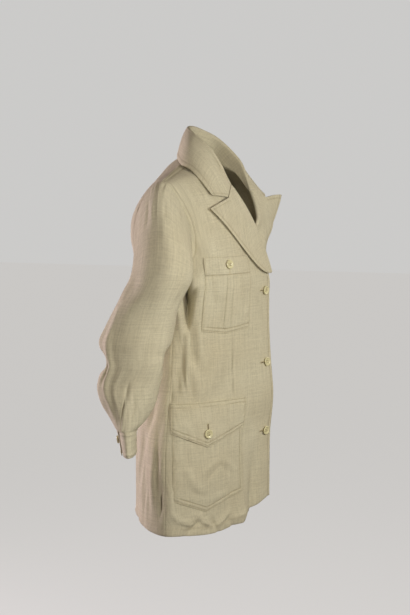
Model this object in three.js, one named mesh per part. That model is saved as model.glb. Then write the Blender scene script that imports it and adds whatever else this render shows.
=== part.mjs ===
// A safari jacket of plain linen, in the hollow form that it has when worn and buttoned.
// Millimetres, +Z up, front towards -Y, the wearer's right towards -X. The origin is the middle
// of the neck opening, level with the neck points, where the shoulder seams meet the collar.
//
// Every sewn piece is a wall of cloth on a surface with two parameters. Pieces of one side are
// worked out as the left one, with x counted outward from the middle, and the right one is
// turned over to -X afterwards.

import * as THREE from 'three';

// Driving dimensions

const cloth = 2; // body, sleeves and cuffs, with their turnings
const doubled = 2.4; // collar and lapels, two layers of cloth
const pocketCloth = 1.6;
const gap = 0.3; // clear space at a seam, and under what lies on a panel
const roll = 3.2; // radius of the turn where collar and lapels fold over
const rollStand = 2.5; // flat stretch between a panel's edge and that turn
const patchGap = 1.3; // clear space under a pocket, whose flat faces bridge the panel's curve
const edgeFlare = 0.22; // slope by which a front's edge stands forward
const wrapUnder = 17; // how far the left front sinks behind the right one at its edge
const wrapFoot = 18; // and where its lapel starts under the right front
const wrapWidth = 52; // distance from its edge where that ends
const seamInset = 0.2; // each panel stops this short of its side seam and armhole
const shoulderInset = 0.035; // and this part of a row short of the shoulder seam
const hemStart = - 480; // height where the rise and fall of the hem begins
const hemHeight = - 700; // height of the last row of the body, before that
const sleeveStart = 1.5; // the sleeve begins this far outside the armhole line
const cuffOverlap = 0.16; // share of a turn by which a cuff's ends overlap
const buttonRadius = 9;
const cuffButtonRadius = 7.5;
const buttonHeight = 3.4;
const buttonGap = 0.8; // the thread's length, between a button and its cloth

// Rows of the body from the hem up to the shoulder seam. Rows 0 to 7 end at the side seam, and
// rows 7 to 13 at the armhole. straight is 0 where a row curves round the body and 1 where it
// runs straight, and full is the length of its curve's handles.

const columns = ( names, rows ) => rows.map( row => Object.fromEntries( names.map( ( name, i ) => [ name, row[ i ] ] ) ) );

const rowNames = [ 'edgeX', 'edgeY', 'edgeZ', 'sideX', 'sideY', 'sideZ', 'straight', 'full' ];

const frontRows = columns( rowNames, [
	[ - 19, - 131, - 700, 200, 8, - 700, 0, 0.3 ],
	[ - 19, - 131, - 620, 201, 8, - 620, 0, 0.3 ],
	[ - 19, - 132, - 540, 197, 8, - 540, 0, 0.3 ],
	[ - 19, - 138, - 460, 184, 7, - 460, 0, 0.33 ],
	[ - 19, - 133, - 390, 171, 6, - 390, 0, 0.4 ],
	[ - 19, - 129, - 320, 167, 5, - 320, 0, 0.48 ],
	[ - 18, - 129, - 262, 170, 5, - 262, 0, 0.54 ],
	[ - 17, - 129, - 224, 172, 5, - 215, 0, 0.57 ],
	[ - 3, - 117, - 170, 165, - 28, - 180, 0.15, 0.58 ],
	[ 22, - 103, - 118, 163, - 34, - 140, 0.35, 0.58 ],
	[ 45, - 86, - 75, 167, - 25, - 102, 0.55, 0.58 ],
	[ 62, - 62, - 38, 177, - 12, - 68, 0.75, 0.6 ],
	[ 74, - 28, - 14, 187, 2, - 42, 0.9, 0.6 ],
	[ 78, 20, 0, 190, 17, - 34, 1, 0.6 ],
] );

const backRows = columns( rowNames, [
	[ 0, 118, - 700, 200, 8, - 700, 0, 0.56 ],
	[ 0, 118, - 620, 201, 8, - 620, 0, 0.56 ],
	[ 0, 117, - 540, 197, 8, - 540, 0, 0.56 ],
	[ 0, 110, - 460, 184, 7, - 460, 0, 0.56 ],
	[ 0, 103, - 390, 171, 6, - 390, 0, 0.58 ],
	[ 0, 106, - 320, 167, 5, - 320, 0, 0.58 ],
	[ 0, 115, - 262, 170, 5, - 262, 0, 0.58 ],
	[ 0, 123, - 215, 172, 5, - 215, 0, 0.58 ],
	[ 0, 128, - 172, 167, 44, - 188, 0.05, 0.58 ],
	[ 0, 127, - 128, 166, 70, - 150, 0.1, 0.58 ],
	[ 0, 119, - 85, 171, 74, - 108, 0.2, 0.58 ],
	[ 0, 100, - 45, 182, 56, - 68, 0.4, 0.58 ],
	[ 0, 72, - 8, 188, 33, - 42, 0.65, 0.58 ],
	[ 0, 40, 19, 190, 17, - 34, 0.9, 0.58 ],
] );

const underarmRow = 7;
const shoulderRow = 13;

// Rise of the hem over its level line, at shares of the way from edge to side seam

const frontHems = {
	right: columns( [ 'at', 'rise' ], [ [ 0, 34 ], [ 0.27, 14 ], [ 0.34, - 4 ], [ 0.6, - 13 ], [ 1, - 8 ] ] ),
	left: columns( [ 'at', 'rise' ], [ [ 0, 44 ], [ 0.3, 30 ], [ 0.42, 6 ], [ 0.62, - 12 ], [ 1, - 8 ] ] ),
};
const backHem = columns( [ 'at', 'rise' ], [ [ 0, 26 ], [ 0.3, 24 ], [ 0.55, 6 ], [ 1, - 8 ] ] );

// Soft folds. at and drift are the share across the panel at the top, and how far it has
// moved at the bottom; half is half the fold's width, and rise is its height.

const foldEnds = 0.35; // share of a fold's length in which it rises, and fades again
const foldNames = [ 'at', 'drift', 'half', 'top', 'bottom', 'rise' ];

const frontFolds = {
	right: columns( foldNames, [
		[ 0.215, - 0.02, 0.045, - 540, - 960, - 9 ],
		[ 0.34, 0, 0.06, - 520, - 960, 6 ],
		[ 0.86, 0.01, 0.04, - 300, - 452, 6 ],
		[ 0.93, 0, 0.04, - 290, - 450, - 7 ],
		[ 0.62, 0.05, 0.06, - 330, - 450, 4 ],
		[ 0.75, - 0.12, 0.05, - 160, - 300, - 4 ],
	] ),
	left: columns( foldNames, [
		[ 0.24, - 0.03, 0.05, - 530, - 960, - 8 ],
		[ 0.38, 0.01, 0.06, - 520, - 960, 6 ],
		[ 0.84, 0.02, 0.045, - 305, - 452, 6 ],
		[ 0.92, 0, 0.04, - 290, - 450, - 6 ],
		[ 0.58, 0.04, 0.06, - 320, - 450, 4 ],
		[ 0.72, - 0.1, 0.05, - 165, - 300, - 3 ],
	] ),
};

const backFolds = {
	right: columns( foldNames, [
		[ 0.16, - 0.03, 0.07, - 500, - 960, - 9 ],
		[ 0.42, 0.03, 0.08, - 430, - 960, 6 ],
		[ 0.72, 0.04, 0.06, - 480, - 660, - 6 ],
		[ 0.62, - 0.12, 0.07, - 210, - 420, 5 ],
		[ 0.85, - 0.16, 0.06, - 190, - 380, - 6 ],
	] ),
	left: columns( foldNames, [
		[ 0.22, - 0.02, 0.07, - 520, - 960, - 7 ],
		[ 0.48, 0.02, 0.08, - 420, - 960, 7 ],
		[ 0.77, 0.02, 0.06, - 470, - 680, - 6 ],
		[ 0.58, - 0.1, 0.07, - 220, - 430, 5 ],
		[ 0.83, - 0.14, 0.06, - 185, - 370, - 6 ],
	] ),
};

// Rings of the sleeve from the upper arm to its end above the cuff, each an oval whose outer
// side is away from the body: centre, half its size across and from front to back, and the
// angle by which its outer side is turned forward.

const ringNames = [ 'x', 'y', 'z', 'across', 'deep', 'twist' ];

const sleeveRings = columns( ringNames, [
	[ 222, 11, - 222, 44, 59, 5 ],
	[ 230, 32, - 266, 45, 59, 11 ],
	[ 238, 43, - 305, 46, 65, 15 ],
	[ 243, 47, - 330, 46, 70, 16 ],
	[ 246, 49, - 352, 45, 63, 16 ],
	[ 248, 48, - 372, 44, 58, 16 ],
	[ 251, 60, - 408, 43, 58, 16 ],
	[ 254, 58, - 446, 44, 47, 17 ],
	[ 256, 58, - 474, 46, 32, 19 ],
	[ 256, 61, - 490, 50, 20, 19 ],
] );

const cuffRings = columns( ringNames, [
	[ 256, 61.5, - 490.8, 51, 18, 20 ],
	[ 257, 59.5, - 514, 51.5, 15.5, 20 ],
	[ 258, 57, - 537, 52, 13.5, 20 ],
] );

// Soft folds of the sleeve: turn is the angle round it in degrees, 0 outward and 90 forward

const sleeveFolds = columns( [ 'turn', 'drift', 'half', 'top', 'bottom', 'rise' ], [
	[ 78, 20, 22, - 290, - 400, - 8 ],
	[ 268, 0, 20, - 340, - 392, - 6 ],
	[ 304, - 18, 18, - 330, - 480, 5 ],
	[ 20, 12, 20, - 120, - 300, 4 ],
	[ 300, 20, 22, - 120, - 280, - 5 ],
] );

// Collar stations from the middle of the back round to the gorge. seam is where it is sewn on,
// fold is the top of its turn, bow shapes the fall, and edge is the edge of the fall. The left
// side's fold lies lower by leftDrop.

const stationNames = [ 'seamX', 'seamY', 'seamZ', 'foldX', 'foldY', 'foldZ',
	'bowX', 'bowY', 'bowZ', 'edgeX', 'edgeY', 'edgeZ', 'leftDrop' ];

const collarStations = columns( stationNames, [
	[ 0, 39.5, 21, 0, 27, 73, 0, 40, 56, 0, 49, 22, 0 ],
	[ 36, 34.5, 16.5, 35, 21, 69, 44, 32, 53, 46, 41, 16, 1 ],
	[ 77, 19, 2.2, 63, - 4, 55, 85, 7, 42, 92, 17, 3, 6 ],
	[ 74, - 10, - 5, 71, - 35, 31, 95, - 24, 24, 109, - 12, - 10, 11 ],
	[ 66, - 42, - 20, 67, - 58, - 4, 93, - 54, - 7, 116, - 36, - 35, 2 ],
] );

// Places on the front panel as share across and row: the gorge runs from the roll line to the
// notch, and the tips are the corners of lapel and collar.

const breakRow = 7.15;
const lapelFoot = 0.03; // least width of the lapel, at the break
const lapelCurve = 0.62; // exponent of its outer edge
const rollLength = 110; // about how long the roll line is from the break to the gorge

const turned = {
	right: {
		gorgeRow: 10.75,
		notch: { across: 0.21, row: 10.27 },
		lapelTip: { across: 0.64, row: 10.1 },
		collarTip: { across: 0.46, row: 10.62 },
	},
	left: {
		gorgeRow: 10.45,
		notch: { across: 0.21, row: 9.9 },
		lapelTip: { across: 0.58, row: 9.95 },
		collarTip: { across: 0.42, row: 10.35 },
	},
};

// How the lapels stand: degrees open from the chest at the top of the lapel, the notch and the
// collar tip, the exponent by which that grows up the lapel, the lapel's height over the chest
// at its foot and further up, the radius of its turn at the foot, and how far its tip droops.

const stance = {
	right: { lapel: 3, notch: 3, collar: 2, curve: 1, footLift: 7, lift: 3.6, footRoll: 3.2, droop: 0 },
	left: { lapel: 54, notch: 50, collar: 23, curve: 2, footLift: 3.2, lift: 3.6, footRoll: 1.9, droop: 12 },
};

// Pockets on the front: inner and outer edges as distance from the middle, heights of the top,
// of the lower corners and of the point, the point's share across, and the pocket's bulge.

const chestPocket = { inner: 52, outer: 169, top: - 178, corner: - 318, point: - 325, pointAt: 0.53, bulge: 2.5 };
const lowerPocket = { inner: 70, outer: 233, top: - 468, corner: - 640, point: - 668, pointAt: 0.56, bulge: 4 };
const lowerFlap = { inner: 68, outer: 235, top: - 454, corner: - 510, point: - 541, pointAt: 0.56, landing: 12 };

const frontButtonHeights = [ - 249, - 392, - 530 ];
const chestButtonDrop = 14; // below the chest pocket's top
const flapButtonRise = 26; // above the flap's point

// Small helpers

const { lerp, clamp, smoothstep, degToRad } = THREE.MathUtils;
const vector = ( x, y, z ) => new THREE.Vector3( x, y, z );
const steps = count => Array.from( { length: count + 1 }, ( _, i ) => i / count );
const spread = ( from, to, count ) => steps( count ).map( s => lerp( from, to, s ) );

// One column of a table at a fractional row, on a Catmull-Rom curve through the rows, with a
// corner where a panel's side leaves the side seam for the armhole
function along( rows, name, row ) {

	const i = clamp( Math.floor( row ), 0, rows.length - 2 );
	const t = row - i;
	const b = rows[ i ][ name ];
	const c = rows[ i + 1 ][ name ];
	const corner = name.startsWith( 'side' ) ? underarmRow : 0;
	const a = i > 0 && i !== corner ? rows[ i - 1 ][ name ] : 2 * b - c;
	const d = i + 2 < rows.length && i + 1 !== corner ? rows[ i + 2 ][ name ] : 2 * c - b;
	return b + 0.5 * t * ( c - a + t * ( 2 * a - 5 * b + 4 * c - d + t * ( 3 * ( b - c ) + d - a ) ) );

}

// A table of places and values, eased between its rows
function eased( rows, name, at ) {

	const after = rows.findIndex( row => row.at > at );
	const i = after < 0 ? rows.length - 2 : Math.max( after - 1, 0 );
	return lerp( rows[ i ][ name ], rows[ i + 1 ][ name ], smoothstep( at, rows[ i ].at, rows[ i + 1 ].at ) );

}

// Sum of the folds of a table at a place: a bell across each fold, eased in and out lengthwise
function foldRise( folds, at, height, key = 'at', whole = 0 ) {

	let sum = 0;
	for ( const fold of folds ) {

		const share = ( fold.top - height ) / ( fold.top - fold.bottom );
		if ( share <= 0 || share >= 1 ) continue;
		let away = at - fold[ key ] - fold.drift * share;
		if ( whole ) away -= whole * Math.round( away / whole );
		const ends = smoothstep( share, 0, foldEnds ) * smoothstep( 1 - share, 0, foldEnds );
		sum += fold.rise * ends * Math.exp( - ( ( away / fold.half ) ** 2 ) );

	}

	return sum;

}

// Unit normal of a surface, from small steps along its two parameters
function normalOf( surface, u, v, tube = false ) {

	const h = 1e-3;
	const u0 = tube ? u - h : Math.max( u - h, 0 );
	const u1 = tube ? u + h : Math.min( u + h, 1 );
	const du = surface( u1, v ).sub( surface( u0, v ) );
	const dv = surface( u, Math.min( v + h, 1 ) ).sub( surface( u, Math.max( v - h, 0 ) ) );
	return du.cross( dv ).normalize();

}

// A closed wall of cloth. surface( u, v ) is its middle, us and vs are where it is sampled,
// lift moves it outward, and tube joins its last column to its first.
function wall( surface, us, vs, thickness, { lift = 0, tube = false, mirror = false } = {} ) {

	const positions = [];
	for ( const layer of [ 0.5, - 0.5 ] ) {

		for ( const v of vs ) {

			for ( const u of us ) {

				const p = surface( u, v ).addScaledVector( normalOf( surface, u, v, tube ), lift + layer * thickness );
				positions.push( mirror ? - p.x : p.x, p.y, p.z );

			}

		}

	}

	const nu = us.length;
	const nv = vs.length;
	const columnsOfQuads = tube ? nu : nu - 1;
	const at = ( layer, i, j ) => ( layer * nv + j ) * nu + i % nu;
	const triangles = [];
	const quad = ( a, b, c, d ) => triangles.push( a, b, c, a, c, d );
	for ( let j = 0; j < nv - 1; j ++ ) {

		for ( let i = 0; i < columnsOfQuads; i ++ ) {

			quad( at( 0, i, j ), at( 0, i + 1, j ), at( 0, i + 1, j + 1 ), at( 0, i, j + 1 ) );
			quad( at( 1, i, j ), at( 1, i, j + 1 ), at( 1, i + 1, j + 1 ), at( 1, i + 1, j ) );

		}

		if ( tube ) continue;
		quad( at( 0, 0, j ), at( 0, 0, j + 1 ), at( 1, 0, j + 1 ), at( 1, 0, j ) );
		quad( at( 0, nu - 1, j + 1 ), at( 0, nu - 1, j ), at( 1, nu - 1, j ), at( 1, nu - 1, j + 1 ) );

	}

	for ( let i = 0; i < columnsOfQuads; i ++ ) {

		quad( at( 0, i + 1, 0 ), at( 0, i, 0 ), at( 1, i, 0 ), at( 1, i + 1, 0 ) );
		quad( at( 0, i, nv - 1 ), at( 0, i + 1, nv - 1 ), at( 1, i + 1, nv - 1 ), at( 1, i, nv - 1 ) );

	}

	if ( mirror ) triangles.reverse();
	const geometry = new THREE.BufferGeometry();
	geometry.setAttribute( 'position', new THREE.Float32BufferAttribute( positions, 3 ) );
	geometry.setIndex( triangles );
	geometry.computeVertexNormals();
	return geometry;

}

// Body panels

// Rows where panels and sleeves are sampled, so that they meet point by point at their seams
const lowerRows = spread( 0, underarmRow, 12 );
const armholeRows = spread( underarmRow, shoulderRow, 10 );
const rowShares = [ ...lowerRows, ...armholeRows.slice( 1 ) ].map(
	row => Math.min( row, shoulderRow - shoulderInset ) / shoulderRow );

const rowCurves = new Map();

// The curve of one row of a panel, from its edge at the middle to its side
function rowCurve( rows, row ) {

	const key = `${ rows === frontRows } ${ row.toFixed( 6 ) }`;
	if ( rowCurves.has( key ) ) return rowCurves.get( key );
	const value = name => along( rows, name, row );
	const edge = vector( value( 'edgeX' ), value( 'edgeY' ), value( 'edgeZ' ) );
	const side = vector( value( 'sideX' ), value( 'sideY' ), value( 'sideZ' ) );
	const straight = value( 'straight' );
	const full = value( 'full' );
	const chord = side.clone().sub( edge );
	const plain = chord.clone().multiplyScalar( 0.55 * straight );
	const flare = rows === frontRows ? edgeFlare : 0;
	const out = vector( 1, flare, 0 ).multiplyScalar( ( 1 - straight ) * chord.x ).add( plain );
	const back = vector( 0, - ( 1 - straight ) * chord.y, 0 ).sub( plain );
	const curve = new THREE.CubicBezierCurve3(
		edge, edge.clone().addScaledVector( out, full ), side.clone().addScaledVector( back, full ), side );
	curve.arcLengthDivisions = 120;
	rowCurves.set( key, curve );
	return curve;

}

// Moves a point of the body by its hem line and its folds
function shaped( point, at, hem, folds ) {

	const height = point.z;
	const away = vector( point.x, 1.6 * point.y, 0 ).normalize();
	const rise = foldRise( folds, at, height ) * smoothstep( at, 0, 0.08 ) * smoothstep( 1 - at, 0, 0.05 );
	point.addScaledVector( away, rise );
	point.z += eased( hem, 'rise', at ) * smoothstep( hemStart - height, 0, hemStart - hemHeight );
	return point;

}

// The front panel's surface by share across and row
function frontPoint( side, across, row ) {

	const curve = rowCurve( frontRows, row );
	const point = shaped( curve.getPointAt( clamp( across, 0, 1 ) ), across, frontHems[ side ], frontFolds[ side ] );
	if ( side === 'left' ) {

		const near = smoothstep( wrapWidth - across * curve.getLength(), 0, wrapWidth );
		const buttoned = wrapUnder * ( 1 - smoothstep( row, breakRow, breakRow + 1.2 ) );
		const foot = wrapFoot * smoothstep( row, 6, breakRow ) * ( 1 - smoothstep( row, 8.3, 9.3 ) );
		point.y += near * Math.max( buttoned, foot );

	}

	return point;

}

// The back's top row is pulled onto the shoulder seam and the neck point
const shoulderEnd = vector( frontRows[ shoulderRow ].sideX, frontRows[ shoulderRow ].sideY, frontRows[ shoulderRow ].sideZ );
const neckPoint = vector( frontRows[ shoulderRow ].edgeX, frontRows[ shoulderRow ].edgeY, frontRows[ shoulderRow ].edgeZ );
const neckShare = 0.42; // share of the back's top row that is the neckline

// The back's upper edge: the neckline from the middle to the neck point, then the shoulder seam
function backTop( across ) {

	if ( across >= neckShare ) {

		return neckPoint.clone().lerp( shoulderEnd, ( across - neckShare ) / ( 1 - neckShare ) );

	}

	const share = across / neckShare;
	const top = backRows[ shoulderRow ];
	const bend = share * share;
	return vector( lerp( 0, neckPoint.x, share ), lerp( top.edgeY, neckPoint.y, bend * ( 1.4 - 0.4 * share ) ),
		lerp( top.edgeZ, neckPoint.z, bend * ( 1.2 - 0.2 * share ) ) );

}

// The back panel's surface by share from the middle to the side, and row
function backPoint( side, across, row ) {

	const curve = rowCurve( backRows, row );
	const point = shaped( curve.getPointAt( clamp( across, 0, 1 ) ), across, backHem, backFolds[ side ] );
	const pull = smoothstep( row, 9.5, shoulderRow );
	if ( pull === 0 ) return point;
	const plain = rowCurve( backRows, shoulderRow ).getPointAt( clamp( across, 0, 1 ) );
	return point.addScaledVector( backTop( across ).sub( plain ), pull );

}

// The front panel's surface as one of two parameters
const frontSurface = side => ( u, v ) => frontPoint( side, u, v * shoulderRow );

// Shares across a panel whose two ends stop short of the seams by the inset
const insetSteps = ( count, width ) => steps( count ).map( s => lerp( seamInset / width, 1 - seamInset / width, s ) );

const panelWidth = 260;
const frontGeometry = ( side, mirror ) => wall( frontSurface( side ), insetSteps( 17, panelWidth ),
	rowShares, cloth, { mirror } );

// The whole back: u runs from the wearer's left side seam over the middle to the right one
function backSurface( u, v ) {

	const row = lerp( 0, shoulderRow, v );
	const across = Math.abs( 1 - 2 * u );
	if ( u <= 0.5 ) return backPoint( 'left', across, row );
	const point = backPoint( 'right', across, row );
	point.x = - point.x;
	return point;

}

// Sleeves

// The armhole line at an angle: 0 at the shoulder, 90 in front, 180 under the arm. The spread
// turns equal angles into about equal lengths of it.
const armholeSpread = 0.75;
const turnOf = row => 0.5 * ( ( shoulderRow - row ) / ( shoulderRow - underarmRow ) ) ** ( 1 / armholeSpread );
const sleeveTurns = [
	...armholeRows.toReversed().map( turnOf ),
	...armholeRows.slice( 1, - 1 ).map( row => 1 - turnOf( row ) ),
];

function armhole( angle ) {

	const turn = ( ( angle % 360 ) + 360 ) % 360;
	const inFront = turn <= 180;
	const share = ( inFront ? turn : 360 - turn ) / 180;
	const row = shoulderRow - ( shoulderRow - underarmRow ) * share ** armholeSpread;
	const rows = inFront ? frontRows : backRows;
	return vector( along( rows, 'sideX', row ), along( rows, 'sideY', row ), along( rows, 'sideZ', row ) );

}

// A point of the oval rings at an angle and a fractional ring
const upwards = vector( 0, 0, 1 );
function ringPoint( rings, angle, ring ) {

	const turn = degToRad( angle );
	const value = name => along( rings, name, ring );
	const point = vector( value( 'across' ) * Math.cos( turn ), - value( 'deep' ) * Math.sin( turn ), 0 );
	point.applyAxisAngle( upwards, - degToRad( value( 'twist' ) ) );
	return point.add( vector( value( 'x' ), value( 'y' ), value( 'z' ) ) );

}

// The sleeve's middle surface. Down to 1 it is the cap, a Hermite patch from the armhole to the
// first ring; past 1 it follows the rings.
function sleevePoint( angle, down ) {

	if ( down >= 1 ) {

		const point = ringPoint( sleeveRings, angle, down - 1 );
		const turn = degToRad( angle );
		const rise = foldRise( sleeveFolds, ( ( angle % 360 ) + 360 ) % 360, point.z, 'turn', 360 );
		return point.add( vector( Math.cos( turn ), - Math.sin( turn ), 0 ).multiplyScalar( rise ) );

	}

	const top = Math.max( Math.cos( degToRad( angle ) ), 0 );
	const outward = vector( 1, 0, - 0.3 * top ).normalize();
	const start = armhole( angle ).addScaledVector( outward, sleeveStart );
	const end = ringPoint( sleeveRings, angle, 0 );
	const reach = end.distanceTo( start );
	const leave = outward.multiplyScalar( reach * lerp( 0.55, 0.72, top ) );
	const arrive = ringPoint( sleeveRings, angle, 0.02 ).sub( end ).normalize().multiplyScalar( 0.9 * reach );
	const t = down;
	const point = start.multiplyScalar( ( 1 + 2 * t ) * ( 1 - t ) ** 2 );
	point.addScaledVector( leave, t * ( 1 - t ) ** 2 );
	point.addScaledVector( end, t * t * ( 3 - 2 * t ) );
	return point.addScaledVector( arrive, t * t * ( t - 1 ) );

}

const capShare = 0.36; // share of the sleeve's samples that is the cap
function sleeveSurface( u, v ) {

	const rings = sleeveRings.length - 1;
	const down = v < capShare ? v / capShare : 1 + rings * ( v - capShare ) / ( 1 - capShare );
	return sleevePoint( u * 360, down );

}

// Cuffs: a band whose ends overlap, the under end lying inside the upper one
const cuffSlit = 300; // angle of the overlap's upper end

function cuffSurface( u, v ) {

	const ring = ( cuffRings.length - 1 ) * v;
	const angle = cuffSlit - u * 360 * ( 1 + cuffOverlap );
	const sink = ( cloth + gap ) * 1.1 * smoothstep( u, 1 - 2.2 * cuffOverlap, 1 - cuffOverlap );
	const turn = degToRad( angle );
	const point = ringPoint( cuffRings, angle, ring );
	return point.add( vector( Math.cos( turn ), - Math.sin( turn ), 0 ).multiplyScalar( - sink ) );

}

// Lapels and collar

// The turn at a roll line: where it starts, its direction to the opening, and its outward normal
function rollFrame( side, row ) {

	const h = 1e-3;
	const start = frontPoint( side, 0, row );
	const upward = frontPoint( side, 0, row + h ).sub( frontPoint( side, 0, row - h ) ).normalize();
	const inward = frontPoint( side, 10 * h, row ).sub( start );
	const normal = inward.cross( upward ).normalize();
	const opening = normal.clone().cross( upward ).normalize();
	return { start, upward, normal, opening };

}

// A point on the chest, lifted, then turned open about the roll line of its row
function onChest( side, across, row, lift, open, rollRow, droop = stance[ side ].droop ) {

	const point = frontPoint( side, across, row );
	point.addScaledVector( normalOf( frontSurface( side ), clamp( across, 0, 1 ), row / shoulderRow ), lift );
	const frame = rollFrame( side, rollRow );
	const radius = rollRadius( side, rollRow );
	const centre = frame.start.clone().addScaledVector( frame.opening, gap + rollStand ).addScaledVector( frame.normal, radius );
	const top = centre.clone().addScaledVector( frame.normal, radius );
	const turn = degToRad( open );
	const swung = point.sub( top ).applyAxisAngle( frame.upward, - turn );
	const end = turnEnd( frame, centre, turn, radius ).add( swung );
	const { gorgeRow, lapelTip } = turned[ side ];
	const up = ( rollRow - breakRow ) / ( gorgeRow - breakRow );
	end.z -= droop * ( across / lapelTip.across ) ** 2 * up ** 3;
	return end;

}

// Where a turn of a radius ends when the flap stands open by an angle
function turnEnd( frame, centre, turn, radius ) {

	return centre.clone().addScaledVector( frame.opening, radius * Math.sin( turn ) )
		.addScaledVector( frame.normal, radius * Math.cos( turn ) );

}

// Radius of the turn at a row of the roll line
function rollRadius( side, row ) {

	return lerp( stance[ side ].footRoll, roll, smoothstep( row, breakRow + 1.2, breakRow + 2.2 ) );

}

// Shares of the way across a folded flap: the flat stretch, the turn, then the fall
const standShare = 0.08;
const turnShare = 0.34;
const collarStand = 0.24; // the collar's stand ends here, and its turn where a lapel's does
const gorgeKnee = 0.4; // share of the collar's fall, at its front end, that is sewn to the lapel

// The turn at a roll line, at a share of the way across the flap below turnShare
function rollPoint( side, row, share, open ) {

	const frame = rollFrame( side, row );
	const base = frame.start.clone().addScaledVector( frame.opening, gap );
	if ( share < standShare ) return base.addScaledVector( frame.opening, rollStand * share / standShare );
	const radius = rollRadius( side, row );
	const centre = base.addScaledVector( frame.opening, rollStand ).addScaledVector( frame.normal, radius );
	const sweep = Math.PI - degToRad( open );
	const angle = - Math.PI / 2 + sweep * ( share - standShare ) / ( turnShare - standShare );
	return centre.addScaledVector( frame.opening, radius * Math.cos( angle ) )
		.addScaledVector( frame.normal, radius * Math.sin( angle ) );

}

// The top of the lapel at a share across it: the gorge, then the lower side of the notch
function lapelTopRow( side, share ) {

	const { gorgeRow, notch, lapelTip } = turned[ side ];
	const knee = notch.across / lapelTip.across;
	if ( share < knee ) return lerp( gorgeRow, notch.row, share / knee );
	return lerp( notch.row, lapelTip.row, ( share - knee ) / ( 1 - knee ) );

}

// The lapel's middle surface: u from the panel's edge round the turn to its outer edge, v up
function lapelSurface( side ) {

	const state = stance[ side ];
	const { gorgeRow, lapelTip } = turned[ side ];
	const topStop = 1 - 2 * gap / rollLength;
	return ( u, v ) => {

		const up = lerp( 0.004, topStop, v );
		const rollRow = lerp( breakRow, gorgeRow, up );
		const open = state.lapel * up ** state.curve;
		if ( u < turnShare ) return rollPoint( side, rollRow, u, open );
		const share = ( u - turnShare ) / ( 1 - turnShare );
		const across = share * ( lapelFoot + ( lapelTip.across - lapelFoot ) * up ** lapelCurve );
		const row = lerp( breakRow, lapelTopRow( side, share ), up );
		const settle = lerp( state.footLift, state.lift, smoothstep( up, 0, 0.6 ) );
		const lift = lerp( 2 * rollRadius( side, rollRow ), settle, smoothstep( share, 0, 0.6 ) );
		return onChest( side, across, row, lift, open, rollRow );

	};

}

// One collar section at a share across it, from its seam over the fold to its edge
function stationPoint( station, share, side ) {

	const drop = side === 'left' ? station.leftDrop : 0;
	const seam = vector( station.seamX, station.seamY, station.seamZ );
	const fold = vector( station.foldX, station.foldY, station.foldZ - drop );
	const { up, out } = station;
	const centre = fold.clone().addScaledVector( up, - roll );
	const before = centre.clone().addScaledVector( out, - roll );
	if ( share < collarStand ) return seam.lerp( before, share / collarStand );
	if ( share < turnShare ) {

		const angle = Math.PI * ( share - collarStand ) / ( turnShare - collarStand );
		return centre.addScaledVector( out, - roll * Math.cos( angle ) ).addScaledVector( up, roll * Math.sin( angle ) );

	}

	const after = centre.clone().addScaledVector( out, roll );
	const t = ( share - turnShare ) / ( 1 - turnShare );
	const bow = vector( station.bowX, station.bowY, station.bowZ - drop );
	const edge = vector( station.edgeX, station.edgeY, station.edgeZ );
	const bezier = new THREE.QuadraticBezierCurve3( after, bow, edge );
	return bezier.getPoint( t );

}

// The collar's end at the gorge and notch, matched to the lapel's top
function gorgePoint( side, share ) {

	const state = stance[ side ];
	const { gorgeRow, notch, collarTip } = turned[ side ];
	if ( share < collarStand ) return rollPoint( side, gorgeRow, share * standShare / collarStand, state.notch );
	if ( share < turnShare ) {

		const around = lerp( standShare, turnShare, ( share - collarStand ) / ( turnShare - collarStand ) );
		return rollPoint( side, gorgeRow, around, state.notch );

	}

	const t = ( share - turnShare ) / ( 1 - turnShare );
	if ( t < gorgeKnee ) {

		const s = t / gorgeKnee;
		const lift = lerp( 2 * roll, state.lift, smoothstep( t, 0, 0.6 ) );
		return onChest( side, notch.across * s, lerp( gorgeRow, notch.row, s ), lift, state.notch, gorgeRow );

	}

	const s = ( t - gorgeKnee ) / ( 1 - gorgeKnee );
	const lift = lerp( lerp( 2 * roll, state.lift, smoothstep( gorgeKnee, 0, 0.6 ) ), state.lift + 0.7, s );
	return onChest( side, lerp( notch.across, collarTip.across, s ), lerp( notch.row, collarTip.row, s ),
		lift, lerp( state.notch, state.collar, s ), gorgeRow, state.droop * ( 1 - s ) );

}

// Each station's directions: up towards its fold, and out across it
collarStations.forEach( ( station, i ) => {

	const next = collarStations[ Math.min( i + 1, collarStations.length - 1 ) ];
	const last = collarStations[ Math.max( i - 1, 0 ) ];
	const tangent = vector( next.foldX - last.foldX, next.foldY - last.foldY, next.foldZ - last.foldZ );
	if ( i === 0 ) tangent.set( 1, 0, 0 );
	const rise = vector( station.foldX - station.seamX, station.foldY - station.seamY, station.foldZ - station.seamZ );
	station.out = rise.clone().cross( tangent ).normalize();
	station.up = tangent.cross( station.out ).normalize();

} );

const gorgeInset = 0.03; // share of a station by which the collar stops short of the gorge

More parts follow.
